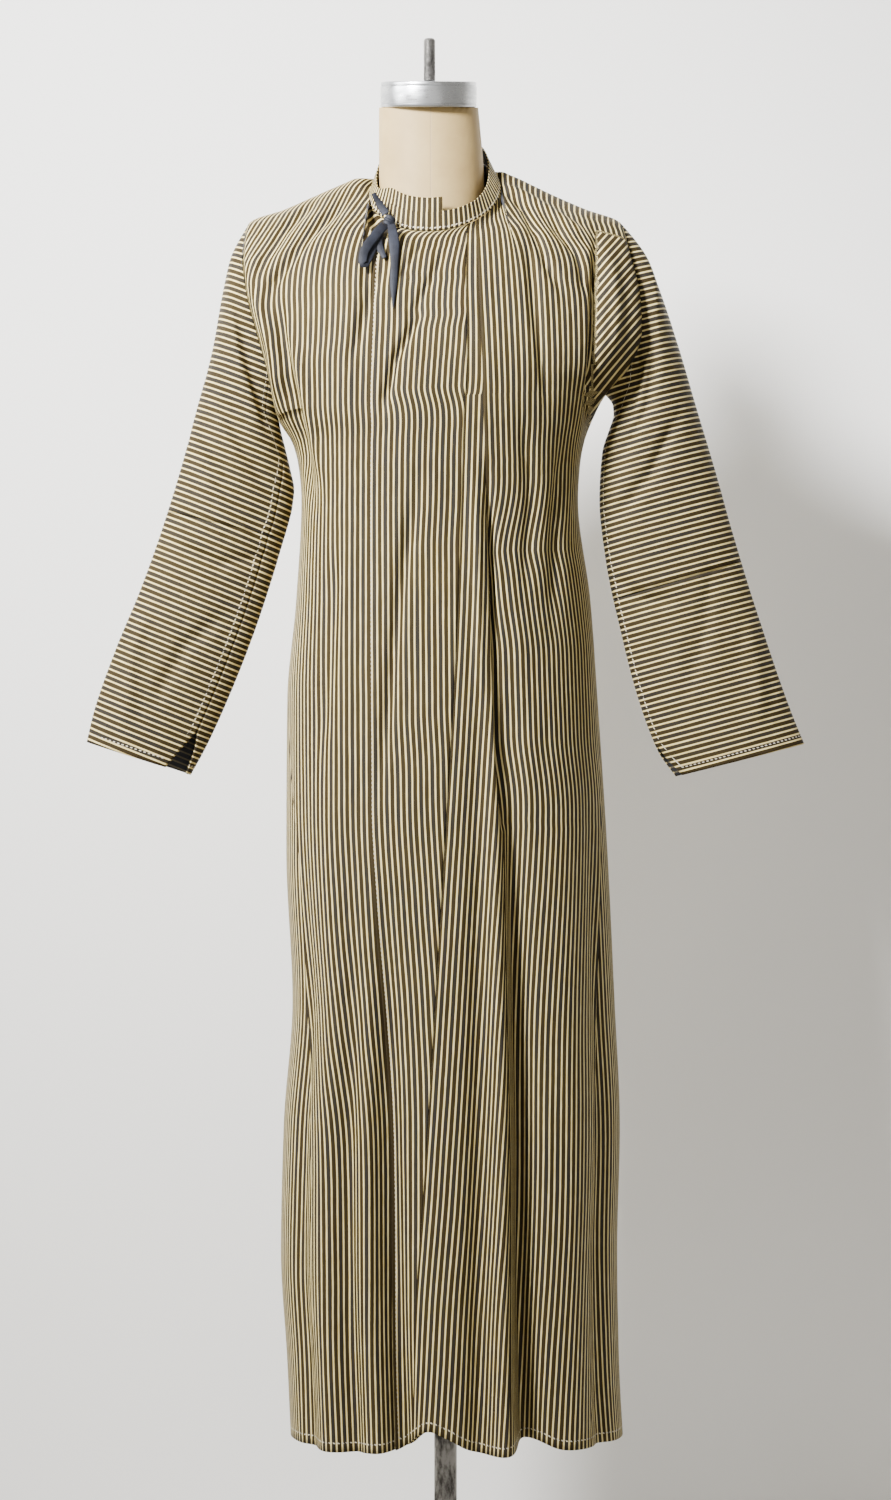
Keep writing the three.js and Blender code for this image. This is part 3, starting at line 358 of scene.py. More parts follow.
def creased(share, v, side, lift=0.0):
    """The drape with its creases, moved out along its own normal."""
    share = share + 0 * v
    v = v + 0 * share
    side = np.asarray(side) + 0 * share
    step = 2e-3
    point = drape(share, v, side)
    du = drape(np.minimum(1, share + step), v, side) - drape(np.maximum(0, share - step), v, side)
    dv = drape(share, np.minimum(1, v + step), side) - drape(share, np.maximum(0, v - step), side)
    normal = np.cross(du, dv)
    normal /= np.linalg.norm(normal, axis=-1, keepdims=True)
    front = crease_at(point[..., 0], point[..., 2], FRONT_CREASES)
    back = crease_at(point[..., 0], point[..., 2], BACK_CREASES)
    top = ease((1 - v) / 0.03) * ease(share / 0.03) * ease((1 - share) / 0.03)
    push = np.where(side > 0, front, back) * top + lift
    return point + normal * (side * push)[..., None]


# ---------------------------------------------------------------- seams of the body
SEAMS = {
    "freeEdge": table(
        "z x", (200, -55), (370, -60), (555, -62), (684, -68), (814, -78), (927, -84), (1400, -86)
    ),
    "gorePanel": table("z x", (200, -37), (344, -33), (479, -24), (814, -4), (1140, 14), (1400, 22)),
    "goreLeft": table("z x", (200, 66), (477, 69), (702, 66), (927, 63), (1242, 46), (1400, 40)),
    "sideRight": table("z x", (200, -148), (370, -146), (634, -153), (814, -160), (1000, -171), (1180, -163)),
    "sideLeft": table("z x", (200, 156), (344, 162), (640, 171), (900, 173), (1180, 157)),
}
TOP_SHARES = {"freeEdge": 0.43, "gorePanel": 0.554, "goreLeft": 0.566}
HALF_GAP = SEAM / 2 / 480
GORE_TIP = 0.004
GORE_V = GORE_ROWS / (BODY_ROWS + ARM_ROWS)
GORE_TOP = 1180


def height_of(share, v):
    return mix(HEM, chest_z(share), np.minimum(1, v / BELOW))


def front_seam(name):
    line = curve(SEAMS[name], "z", "x")

    def at(v):
        z = height_of(0.5, v)
        rise = np.clip((v - BELOW) / (1 - BELOW), 0, 1)
        if name == "freeEdge":
            rise = rise**3
        return mix(share_at_x(line(z), z), TOP_SHARES[name], rise)

    return at


def side_share(name, v):
    z = np.minimum(height_of(0.0 if name == "sideRight" else 1.0, v), GORE_TOP)
    seam = share_at_x(curve(SEAMS[name], "z", "x")(z), z)
    off = seam if name == "sideRight" else 1 - seam
    return mix(off, GORE_TIP, ease((v / GORE_V - 0.6) / 0.4))


def side_edge(name, v):
    low = side_share(name, v) + HALF_GAP
    high = mix(GORE_TIP + HALF_GAP, 2 * HALF_GAP, (v - GORE_V) / (BELOW - GORE_V))
    return np.where(v > BELOW, 0, np.where(v <= GORE_V, low, high))


free_edge = front_seam("freeEdge")
gore_panel = front_seam("gorePanel")
gore_left = front_seam("goreLeft")


# ---------------------------------------------------------------- making sheets
def sheet_mesh(name, points):
    """A sheet through a grid of points, in millimetres, whose rows run along the second axis."""
    rows, columns = points.shape[:2]
    bpy.ops.object.select_all(action="DESELECT")
    bpy.ops.mesh.primitive_grid_add(
        x_subdivisions=columns - 1, y_subdivisions=rows - 1, size=1, location=(0, 0, 0)
    )
    piece = bpy.context.object
    piece.name = name
    piece.data.name = name
    flat = np.empty(len(piece.data.vertices) * 3)
    piece.data.vertices.foreach_get("co", flat)
    flat = flat.reshape(-1, 3)
    column = np.rint((flat[:, 0] + 0.5) * (columns - 1)).astype(int)
    row = np.rint((flat[:, 1] + 0.5) * (rows - 1)).astype(int)
    piece.data.vertices.foreach_set("co", (points[row, column] * MM).ravel())
    piece.data.update()
    return piece, row, column


def write_map(piece, name, u, v):
    """A UV map from a value at each vertex."""
    layer = piece.data.uv_layers.get(name) or piece.data.uv_layers.new(name=name)
    corner = np.empty(len(piece.data.loops), int)
    piece.data.loops.foreach_get("vertex_index", corner)
    layer.data.foreach_set("uv", np.stack([u[corner], v[corner]], 1).ravel())


def apply(piece, kind, name, **values):
    bpy.ops.object.select_all(action="DESELECT")
    piece.select_set(True)
    bpy.context.view_layer.objects.active = piece
    modifier = piece.modifiers.new(name, kind)
    for key, value in values.items():
        setattr(modifier, key, value)
    bpy.ops.object.modifier_apply(modifier=name)


def step_lengths(points, axis, flatten=0.0):
    """Arc length along an axis of a grid; flatten leaves out the share of the depth and height given."""
    step = np.diff(points, axis=axis)
    keep = np.array([1.0, 1.0 - flatten, 1.0 - flatten])
    length = np.linalg.norm(step * keep, axis=-1)
    start = np.zeros_like(np.take(length, [0], axis=axis))
    return np.concatenate([start, np.cumsum(length, axis=axis)], axis=axis)


def cloth(
    name, points, stripe, along, stitch, node,
    out=1.0, slot="striped_cloth",
):
    """A finished sheet of striped cloth. stripe and along are in stripe pitches, stitch is how far each
    point lies from the stitched edge, in millimetres."""
    piece, row, column = sheet_mesh(f"sheet_{name}", points)
    for layer in list(piece.data.uv_layers):
        piece.data.uv_layers.remove(layer)
    write_map(piece, "Stripe", stripe[row, column], along[row, column])
    write_map(piece, "Stitch", along[row, column] * 0, stitch[row, column] / 100)
    piece.data.materials.append(MATERIALS[slot])
    # Inside faces get the reverse of the cloth, painted near black as painted shade for the inside of the
    # garment.
    if slot == "striped_cloth":
        piece.data.materials.append(MATERIALS["cloth_back_painted_shade"])
    inside = 1 if slot == "striped_cloth" else 0
    flip_to(piece, out)
    apply(piece, "SOLIDIFY", "Wall", thickness=CLOTH * MM, offset=-1, material_offset=inside)
    piece.data.polygons.foreach_set("use_smooth", [True] * len(piece.data.polygons))
    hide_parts(node)
    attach(piece, "root")
    return piece


def flip_to(piece, out):
    """Turns the sheet's faces round where out is below zero, so that they point out of the body."""
    if out < 0:
        piece.data.flip_normals()


# ---------------------------------------------------------------- materials
def fresh_material(name):
    material = bpy.data.materials.new(name)
    material.use_nodes = True
    nodes = material.node_tree.nodes
    return material, nodes, material.node_tree.links, nodes["Principled BSDF"]


def shader(node, **values):
    for key, value in values.items():
        node.inputs[key.replace("_", " ")].default_value = value


def math_node(nodes, links, operation, a, b=None, c=None):
    node = nodes.new("ShaderNodeMath")
    node.operation = operation
    for socket, value in zip(node.inputs, (a, b, c)):
        if value is None:
            continue
        if hasattr(value, "links"):
            links.new(value, socket)
        else:
            socket.default_value = value
    return node.outputs[0]


def ramp(nodes, links, value, low, high, start=0.0, end=1.0):
    node = nodes.new("ShaderNodeMapRange")
    node.interpolation_type = "SMOOTHSTEP"
    links.new(value, node.inputs["Value"])
    node.inputs["From Min"].default_value = low
    node.inputs["From Max"].default_value = high
    node.inputs["To Min"].default_value = start
    node.inputs["To Max"].default_value = end
    return node.outputs["Result"]


def blend(nodes, links, factor, a, b):
    node = nodes.new("ShaderNodeMix")
    node.data_type = "RGBA"
    colours = [s for s in node.inputs if s.type == "RGBA"]
    links.new(factor, node.inputs[0])
    for socket, value in zip(colours, (a, b)):
        if hasattr(value, "links"):
            links.new(value, socket)
        else:
            socket.default_value = (*value, 1)
    return [s for s in node.outputs if s.type == "RGBA"][0]


def noise(nodes, links, vector, scale, detail=3.0, roughness=0.55):
    node = nodes.new("ShaderNodeTexNoise")
    links.new(vector, node.inputs["Vector"])
    node.inputs["Scale"].default_value = scale
    node.inputs["Detail"].default_value = detail
    node.inputs["Roughness"].default_value = roughness
    return node.outputs["Fac"]


def scaled(nodes, links, vector, scale):
    node = nodes.new("ShaderNodeMapping")
    links.new(vector, node.inputs["Vector"])
    node.inputs["Scale"].default_value = scale
    return node.outputs["Vector"]


def add_bump(nodes, links, bsdf, height, strength, distance):
    node = nodes.new("ShaderNodeBump")
    node.inputs["Strength"].default_value = strength
    node.inputs["Distance"].default_value = distance
    links.new(height, node.inputs["Height"])
    links.new(node.outputs["Normal"], bsdf.inputs["Normal"])
    return node


def object_coordinates(nodes):
    return nodes.new("ShaderNodeTexCoord").outputs["Object"]


def new_group(name, inputs, outputs):
    group = bpy.data.node_groups.new(name, "ShaderNodeTree")
    for label, kind in inputs:
        group.interface.new_socket(name=label, in_out="INPUT", socket_type=kind)
    for label, kind in outputs:
        group.interface.new_socket(name=label, in_out="OUTPUT", socket_type=kind)
    return group, group.nodes.new("NodeGroupInput"), group.nodes.new("NodeGroupOutput")


def stripe_group():
    """Striped satin: a colour, a roughness and a height from a stripe map and object coordinates."""
    inputs = [("Stripe", "NodeSocketVector"), ("Place", "NodeSocketVector")]
    floats = [(label, "NodeSocketFloat") for label in ("Roughness", "Height")]
    outputs = [("Color", "NodeSocketColor"), *floats]
    group, given, result = new_group("striped_satin", inputs, outputs)
    nodes, links = group.nodes, group.links
    stripe = given.outputs["Stripe"]
    place = given.outputs["Place"]
    split = nodes.new("ShaderNodeSeparateXYZ")
    links.new(stripe, split.inputs[0])
    wander = noise(nodes, links, scaled(nodes, links, stripe, (0.9, 0.09, 1)), 1.0, 2.0)
    across = math_node(nodes, links, "MULTIPLY_ADD", wander, 0.16, split.outputs["X"])
    turn = math_node(nodes, links, "FRACT", across)
    off = math_node(nodes, links, "ABSOLUTE", math_node(nodes, links, "SUBTRACT", turn, 0.5))
    cream = ramp(nodes, links, off, 0.325, 0.355)
    from_edge = math_node(nodes, links, "SUBTRACT", off, 0.352)
    gold = ramp(nodes, links, math_node(nodes, links, "ABSOLUTE", from_edge), 0.05, 0.0)
    index = math_node(nodes, links, "FLOOR", across)
    odd = math_node(nodes, links, "ABSOLUTE", math_node(nodes, links, "MODULO", index, 2.0))
    patches = noise(nodes, links, place, 9.0, 3.0)
    dark = blend(nodes, links, odd, (0.024, 0.016, 0.006), (0.018, 0.016, 0.014))
    dark = blend(nodes, links, ramp(nodes, links, patches, 0.35, 0.75, 0.0, 0.5), dark, (0.036, 0.026, 0.009))
    # Lighter and darker streaks along the cream stripes: partly slubs in the yarn, partly painted highlights
    # that break up the cream. The same noise also varies the roughness.
    slub_and_painted_sheen = noise(nodes, links, scaled(nodes, links, stripe, (6.0, 0.35, 1)), 1.0, 3.0)
    pale = blend(nodes, links, ramp(nodes, links, slub_and_painted_sheen, 0.3, 0.75), (0.66, 0.52, 0.21), (0.88, 0.76, 0.41))
    pale = blend(nodes, links, gold, pale, (0.42, 0.29, 0.07))
    mixed = blend(nodes, links, cream, dark, pale)
    pick = math_node(nodes, links, "SINE", math_node(nodes, links, "MULTIPLY", split.outputs["Y"], 75.0))
    thread = math_node(nodes, links, "SINE", math_node(nodes, links, "MULTIPLY", across, 94.0))
    weave = math_node(nodes, links, "MULTIPLY", pick, thread)
    tint = ramp(nodes, links, weave, -1.0, 1.0, 0.0, 0.08)
    links.new(blend(nodes, links, tint, mixed, (0.07, 0.055, 0.03)), result.inputs["Color"])
    rough = ramp(nodes, links, slub_and_painted_sheen, 0.2, 0.8, 0.55, 0.68)
    rough = math_node(nodes, links, "MULTIPLY_ADD", cream, -0.2, rough)
    links.new(rough, result.inputs["Roughness"])
    threads = math_node(nodes, links, "MULTIPLY", weave, 0.25)
    raised = math_node(nodes, links, "MULTIPLY_ADD", cream, 0.5, threads)
    links.new(raised, result.inputs["Height"])
    return group


def crumple_group():
    """Soft creasing of worn satin, as a height from object coordinates."""
    takes = [("Place", "NodeSocketVector")]
    group, given, result = new_group("crumple", takes, [("Height", "NodeSocketFloat")])
    nodes, links = group.nodes, group.links
    place = given.outputs["Place"]
    broad = noise(nodes, links, scaled(nodes, links, place, (16, 16, 4.5)), 1.0, 2.5)
    fine = noise(nodes, links, scaled(nodes, links, place, (60, 60, 34)), 1.0, 3.0)
    links.new(math_node(nodes, links, "MULTIPLY_ADD", fine, 0.35, broad), result.inputs["Height"])
    return group


def stitch_group():
    """A line of small stitches a set way in from an edge, as a mask."""
    inputs = [("Stripe", "NodeSocketVector"), ("Stitch", "NodeSocketVector")]
    group, given, result = new_group("stitches", inputs, [("Mask", "NodeSocketFloat")])
    nodes, links = group.nodes, group.links
    split = nodes.new("ShaderNodeSeparateXYZ")
    links.new(given.outputs["Stitch"], split.inputs[0])
    away = math_node(nodes, links, "ABSOLUTE", math_node(nodes, links, "SUBTRACT", split.outputs["Y"], 0.1))
    line = ramp(nodes, links, away, 0.009, 0.004)
    run = nodes.new("ShaderNodeSeparateXYZ")
    links.new(given.outputs["Stripe"], run.inputs[0])
    both = math_node(nodes, links, "ADD", run.outputs["X"], run.outputs["Y"])
    stitches = math_node(nodes, links, "MULTIPLY", both, 1.3)
    dash = ramp(nodes, links, math_node(nodes, links, "FRACT", stitches), 0.5, 0.56)
    links.new(math_node(nodes, links, "MULTIPLY", line, dash), result.inputs["Mask"])
    return group


def use_group(nodes, links, group, **given):
    node = nodes.new("ShaderNodeGroup")
    node.node_tree = group
    for name, socket in given.items():
        links.new(socket, node.inputs[name])
    return node


def uv_map(nodes, name):
    node = nodes.new("ShaderNodeUVMap")
    node.uv_map = name
    return node.outputs["UV"]


def striped_cloth(groups):
    material, nodes, links, bsdf = fresh_material("striped_cloth")
    stripe = uv_map(nodes, "Stripe")
    place = object_coordinates(nodes)
    satin = use_group(nodes, links, groups["stripe"], Stripe=stripe, Place=place)
    stitches = use_group(nodes, links, groups["stitch"], Stripe=stripe, Stitch=uv_map(nodes, "Stitch"))
    crumple = use_group(nodes, links, groups["crumple"], Place=place)
    colour = blend(nodes, links, stitches.outputs["Mask"], satin.outputs["Color"], (0.55, 0.50, 0.40))
    links.new(colour, bsdf.inputs["Base Color"])
    links.new(satin.outputs["Roughness"], bsdf.inputs["Roughness"])
    shader(bsdf, Specular_Tint=(1.0, 0.88, 0.68, 1))
    bsdf.inputs["Specular IOR Level"].default_value = 0.14
    wide = add_bump(nodes, links, bsdf, crumple.outputs["Height"], 0.5, 0.012)
    close = add_bump(nodes, links, bsdf, satin.outputs["Height"], 0.4, 0.0004)
    links.new(wide.outputs["Normal"], close.inputs["Normal"])
    links.new(close.outputs["Normal"], bsdf.inputs["Normal"])
    return material


def cloth_back_painted_shade(groups):
    """The reverse of the cloth, painted near black as painted shade for the inside of the garment, with the
    stripes showing faintly.
    """
    material, nodes, links, bsdf = fresh_material("cloth_back_painted_shade")
    stripe = uv_map(nodes, "Stripe")
    satin = use_group(nodes, links, groups["stripe"], Stripe=stripe, Place=object_coordinates(nodes))
    faint = nodes.new("ShaderNodeMix")
    faint.data_type = "RGBA"
    faint.inputs[0].default_value = 0.2
    colours = [s for s in faint.inputs if s.type == "RGBA"]
    colours[0].default_value = (0.030, 0.032, 0.042, 1)
    links.new(satin.outputs["Color"], colours[1])
    links.new([s for s in faint.outputs if s.type == "RGBA"][0], bsdf.inputs["Base Color"])
    shader(bsdf, Roughness=0.75)
    add_bump(nodes, links, bsdf, satin.outputs["Height"], 0.4, 0.0004)
    return material


def ribbon_material():
    material, nodes, links, bsdf = fresh_material("ribbon")
    place = object_coordinates(nodes)
    grain = noise(nodes, links, place, 900.0, 2.0)
    worn = noise(nodes, links, place, 60.0, 3.0)
    colour = blend(nodes, links, ramp(nodes, links, worn, 0.3, 0.8), NIGHT, (0.020, 0.023, 0.034))
    links.new(colour, bsdf.inputs["Base Color"])
    shader(bsdf, Roughness=0.6)
    bsdf.inputs["Specular IOR Level"].default_value = 0.25
    add_bump(nodes, links, bsdf, grain, 0.5, 0.0006)
    return material


def canvas_material():
    """Linen over a hard form, with a seam down the middle of the neck."""
    material, nodes, links, bsdf = fresh_material("form_canvas")
    place = object_coordinates(nodes)
    split = nodes.new("ShaderNodeSeparateXYZ")
    links.new(place, split.inputs[0])
    threads = noise(nodes, links, place, 1400.0, 2.0)
    stains = noise(nodes, links, place, 14.0, 4.0, 0.6)
    stained = ramp(nodes, links, stains, 0.3, 0.75)
    colour = blend(nodes, links, stained, (0.50, 0.355, 0.15), (0.41, 0.28, 0.11))
    middle = math_node(nodes, links, "SUBTRACT", split.outputs["X"], -0.0165)
    middle = math_node(nodes, links, "ABSOLUTE", middle)
    line = ramp(nodes, links, middle, 0.0009, 0.0003)
    ahead = ramp(nodes, links, split.outputs["Y"], 0.0, -0.01)
    seam = math_node(nodes, links, "MULTIPLY", line, ahead)
    colour = blend(nodes, links, math_node(nodes, links, "MULTIPLY", seam, 0.6), colour, (0.34, 0.25, 0.14))
    links.new(colour, bsdf.inputs["Base Color"])
    shader(bsdf, Roughness=0.62, Coat_Weight=0.1, Coat_Roughness=0.4)
    height = math_node(nodes, links, "MULTIPLY_ADD", seam, -0.8, threads)
    add_bump(nodes, links, bsdf, height, 0.35, 0.0005)
    return material


def plate_material():
    """Turned aluminium: fine rings round the disc and a few scratches."""
    material, nodes, links, bsdf = fresh_material("plate_metal")
    place = object_coordinates(nodes)
    rings = noise(nodes, links, scaled(nodes, links, place, (8, 8, 900)), 1.0, 4.0)
    marks = noise(nodes, links, scaled(nodes, links, place, (40, 40, 160)), 1.0, 5.0, 0.7)
    colour = blend(nodes, links, ramp(nodes, links, marks, 0.35, 0.8), (0.62, 0.63, 0.64), (0.42, 0.43, 0.44))
    links.new(colour, bsdf.inputs["Base Color"])
    shader(bsdf, Metallic=1.0)
    links.new(ramp(nodes, links, marks, 0.2, 0.8, 0.2, 0.42), bsdf.inputs["Roughness"])
    add_bump(nodes, links, bsdf, rings, 0.25, 0.0003)
    return material


def steel_material():
    material, nodes, links, bsdf = fresh_material("stand_steel")
    place = object_coordinates(nodes)
    spots = noise(nodes, links, scaled(nodes, links, place, (60, 60, 22)), 1.0, 5.0, 0.7)
    grain = noise(nodes, links, scaled(nodes, links, place, (700, 700, 30)), 1.0, 2.0)
    spotted = ramp(nodes, links, spots, 0.42, 0.62)
    colour = blend(nodes, links, spotted, (0.30, 0.29, 0.275), (0.075, 0.07, 0.065))
    links.new(colour, bsdf.inputs["Base Color"])
    shader(bsdf, Metallic=0.9)
    links.new(ramp(nodes, links, spots, 0.3, 0.7, 0.3, 0.62), bsdf.inputs["Roughness"])
    add_bump(nodes, links, bsdf, grain, 0.2, 0.0003)
    return material


def iron_material():
    material, nodes, links, bsdf = fresh_material("base_iron")
    place = object_coordinates(nodes)
    pits = noise(nodes, links, place, 260.0, 4.0, 0.6)
    wear = noise(nodes, links, place, 18.0, 4.0, 0.65)
    worn = ramp(nodes, links, wear, 0.5, 0.72)
    colour = blend(nodes, links, worn, (0.022, 0.022, 0.024), (0.075, 0.062, 0.05))
    links.new(colour, bsdf.inputs["Base Color"])
    shader(bsdf, Metallic=0.5)
    links.new(ramp(nodes, links, pits, 0.3, 0.7, 0.45, 0.7), bsdf.inputs["Roughness"])
    add_bump(nodes, links, bsdf, pits, 0.4, 0.0008)
    return material


def wall_material(name, light, dark):
    material, nodes, links, bsdf = fresh_material(name)
    place = object_coordinates(nodes)
    tone = noise(nodes, links, place, 1.4, 2.0)
    colour = blend(nodes, links, tone, light, dark)
    links.new(colour, bsdf.inputs["Base Color"])
    shader(bsdf, Roughness=0.9)
    return material


def all_materials():
    groups = {"stripe": stripe_group(), "stitch": stitch_group(), "crumple": crumple_group()}
    return {
        "striped_cloth": striped_cloth(groups),
        "cloth_back_painted_shade": cloth_back_painted_shade(groups),
        "ribbon": ribbon_material(),
        "form_canvas": canvas_material(),
        "plate_metal": plate_material(),
        "stand_steel": steel_material(),
        "base_iron": iron_material(),
        "wall": wall_material("pale_wall", (0.93, 0.92, 0.89), (0.90, 0.89, 0.86)),
        "floor": wall_material("pale_floor", (0.50, 0.48, 0.44), (0.46, 0.44, 0.40)),
    }


MATERIALS = all_materials()
ROWS = np.linspace(0, 1, 241)


# ---------------------------------------------------------------- body panels
def stripe_lengths(points, shares, reference, rows):
    """How far each point of a row lies from the row's reference seam, across the stripes."""
    result = np.empty(points.shape[:2])
    for j, v in enumerate(rows):
        up = ease((v - BELOW) / (1 - BELOW))
        step = np.diff(points[j], axis=0)
        length = np.sqrt(step[:, 0] ** 2 + mix(1.0, 0.3, up) * step[:, 1] ** 2)
        run = np.r_[0, np.cumsum(length)]
        start = np.interp(reference[j], shares[j], run)
        result[j] = (run - start) / PITCH
    return result


PULL = {
    "fold": table("z x", (1330, 158), (1400, 163), (1480, 166), (1560, 168)),
    "turn": math.radians(50),
    "x": 165,
    "z": 1470,
    "foot": 1345,
    "top": 1562,
    "lean": 0.3,
}


def pulled(points, stripe):
    """Beyond the fold at the left armhole the stripes run up and out, aslant."""
    x, z = points[..., 0], points[..., 2]
    fold = curve(PULL["fold"], "z", "x")(z)
    beyond = (x > fold) & (z > PULL["foot"]) & (z < PULL["top"] - PULL["lean"] * (x - fold))
    out, up = x - PULL["x"], z - PULL["z"]
    aslant = (out * math.sin(PULL["turn"]) - up * math.cos(PULL["turn"])) / PITCH
    return np.where(beyond, aslant, stripe)


def panel(name, side, start, end, columns, reference, phase=0.0, lift=None, stitch=None):
    rows = ROWS if side > 0 else np.r_[ROWS[:-1], 1 - 1.2e-4]
    v = rows[:, None]
    u = np.linspace(0, 1, columns + 1)[None, :]
    shares = mix(start(v), end(v), u)
    points = creased(shares, v, side, lift(shares, v) if lift else 0.0)
    line = (reference(rows) + 0 * rows).ravel()
    stripe = stripe_lengths(points, shares, line, rows) + phase
    if name == "left_front":
        stripe = pulled(points, stripe)
    along = step_lengths(points, 0) / PITCH
    hem = step_lengths(points, 0)
    edge = hem if stitch is None else np.minimum(hem, stitch(points, shares))
    cloth(name, points, stripe, along, edge, name, out=side)


def edge_distance(seam, rows):
    """Distance from a side seam of the panel along each row."""

    def at(points, shares):
        run = step_lengths(points, 1)
        start = np.array([np.interp(s, share, r) for s, share, r in zip(seam(rows), shares, run)])
        return np.abs(run - start[:, None]) + 6

    return at


def body():
    right_side = lambda v: side_edge("sideRight", v)
    left_side = lambda v: 1 - side_edge("sideLeft", v)
    under = lambda v: mix(gore_panel(v), gore_left(v), 0.4)
    sink = lambda share, v: -UNDERLAP * ease((share - free_edge(v) + 0.07) / 0.06)
    overlap_end = lambda v: gore_panel(v) - HALF_GAP
    gore_start = lambda v: gore_panel(v) + HALF_GAP
    gore_end = lambda v: gore_left(v) - HALF_GAP
    left_start = lambda v: gore_left(v) + HALF_GAP
    panel("right_front", 1, right_side, under, 110, free_edge, 0.5, lift=sink)
    stitch = edge_distance(free_edge, ROWS)
    panel("front_overlap", 1, free_edge, overlap_end, 40, free_edge, 0.2, stitch=stitch)
    panel("front_gore", 1, gore_start, gore_end, 48, gore_panel, 0.4)
    panel("left_front", 1, left_start, left_side, 90, gore_left, 0.1)
    panel("back", -1, right_side, left_side, 200, lambda v: 0.5 + 0 * v, 0.0)


def side_gore(name, seam, right):
    rows = np.linspace(0, 1, 131)
    height = rows[:, None] * GORE_V
    off = side_share(seam, height) - HALF_GAP
    turn = mix(-off, off, np.linspace(0, 1, 41)[None, :])
    share = np.abs(turn) if right else 1 - np.abs(turn)
    points = creased(share, height, np.where(turn < 0, 1.0, -1.0))
    run = step_lengths(points, 1)
    stripe = (run - run[:, [20]]) / PITCH
    along = step_lengths(points, 0)
    cloth(name, points, stripe, along / PITCH, along, name, out=-1 if right else 1)


# ---------------------------------------------------------------- sleeves
SLEEVE_COLUMNS = "s outX outZ inX inZ half bulge y"
SLEEVES = {
    "right": {
        "sign": -1,
        "seamTurn": 140,
        "piecing": 5.7,
        "lean": 0.40,
        "rings": table(
            SLEEVE_COLUMNS,
            (0, 219, 1577, 188, 1358, 48, 16, 2),
            (1, 240, 1540, 185, 1342, 49, 15, 1),
            (2, 250, 1499, 180, 1322, 49, 11, 0),
            (3, 262, 1433, 174.5, 1299, 46, 6, -1),
            (4, 280, 1365, 170, 1276, 42, 2, -2),
            (5, 298, 1298, 172, 1256, 37, 0, -3),
            (6, 319, 1230, 188, 1198, 32, 0, -4),
            (7, 343, 1163, 212, 1123, 29, 0, -5),
            (8, 371, 1095, 238, 1055, 28, 0, -6),
            (9, 395, 1026, 268, 988, 27, 0, -7),
            (9.5, 403, 992, 286, 955, 26, 0, -7),
        ),
    },
    "left": {
        "sign": 1,
        "seamTurn": 172,
        "piecing": 6.55,
        "lean": 0.27,
        "rings": table(
            SLEEVE_COLUMNS,
            (0, 195, 1577, 180, 1382, 46, 31, 2),
            (1, 220, 1546, 188, 1372, 47, 27, 1),
            (2, 240, 1501, 189, 1360, 47, 18, 0),
            (3, 263, 1433, 184, 1343, 45, 10, -1),
            (4, 283, 1365, 176, 1316, 42, 4, -2),
            (5, 303, 1298, 173, 1263, 38, 0, -3),
            (6, 322, 1230, 181, 1190, 33, 0, -4),
            (7, 342, 1163, 196, 1120, 30, 0, -5),
            (8, 364, 1095, 213, 1052, 29, 0, -6),
            (9, 389, 1024, 238, 983, 28, 0, -7),
            (9.5, 403, 990, 258, 953, 27, 0, -7),
        ),
    },
}
SLEEVE_CREASES = {
    "right": [
        {"path": [(-236, 1480), (-214, 1400), (-190, 1320)], "half": 8, "depth": -6},
        {"path": [(-262, 1400), (-226, 1320), (-186, 1256)], "half": 9, "depth": -5},
        {"path": [(-282, 1330), (-240, 1262), (-192, 1214)], "half": 9, "depth": -6},
        {"path": [(-196, 1200), (-252, 1190), (-300, 1212)], "half": 8, "depth": -4},
        {"path": [(-240, 1140), (-290, 1100), (-330, 1030)], "half": 10, "depth": -4},
        {"path": [(-330, 1150), (-350, 1090), (-356, 1010)], "half": 10, "depth": 4},
    ],
    "left": [
        {"path": [(206, 1480), (214, 1400), (196, 1330)], "half": 7, "depth": -6},
        {"path": [(232, 1450), (226, 1370), (190, 1300)], "half": 8, "depth": -5},
        {"path": [(262, 1360), (228, 1290), (186, 1240)], "half": 8, "depth": -6},
        {"path": [(186, 1180), (220, 1150), (262, 1150)], "half": 9, "depth": -4},
        {"path": [(300, 1200), (290, 1120), (270, 1050)], "half": 11, "depth": -3},
        {"path": [(340, 1140), (350, 1070), (352, 1010)], "half": 10, "depth": 3},
    ],
}
GUSSET = {"end": 3, "half": 54, "tip": 2.5, "gap": 0.6}
VENT = {"start": 8.85, "half": 17, "curve": 0.8}
CUFF = 9.5  # where a sleeve ends, in steps of its table
SEAM_GAP = 0.45  # between a sleeve's edges, in degrees


def sleeve_point(arm, degrees, s):
    """A point of a sleeve: 0 degrees on its outer edge, 90 in front, 180 on its inner edge."""
    at = {key: curve(arm["rings"], "s", key)(s) for key in SLEEVE_COLUMNS.split()[1:]}
    turn = np.radians(degrees)
    out = np.cos(turn)
    aside = np.sin(turn)
    round_ = mix(ROUNDNESS, 1, ease(s / 4))
    x = (at["outX"] + at["inX"]) / 2 + (at["outX"] - at["inX"]) / 2 * power(out, round_)
    x = x + at["bulge"] * aside * aside
    z = (at["outZ"] + at["inZ"]) / 2 + (at["outZ"] - at["inZ"]) / 2 * power(out, round_)
    sign = arm["sign"]
    ring = np.stack([sign * x, at["y"] - at["half"] * power(aside, round_), z], -1)
    up = (1 + power(out)) / 2
    hole_z = mix(armpit_at(sign), TIP, up)
    side = np.where(np.abs(aside) < 1e-9, 0, np.where(aside >= 0, 1, -1))
    hole_x = sign * (width_at(sign, hole_z) + 1.4 * SEAM)
    hole = np.stack([hole_x, edge_y(sign, hole_z, side), hole_z], -1)
    near = np.where(s < 1, ease(s) * 0.5 + s * 0.5, 1)[..., None]
    return mix(hole, ring, near)


def seam_centre(arm, s):
    return mix(180, arm["seamTurn"], ease(s / 4.5))


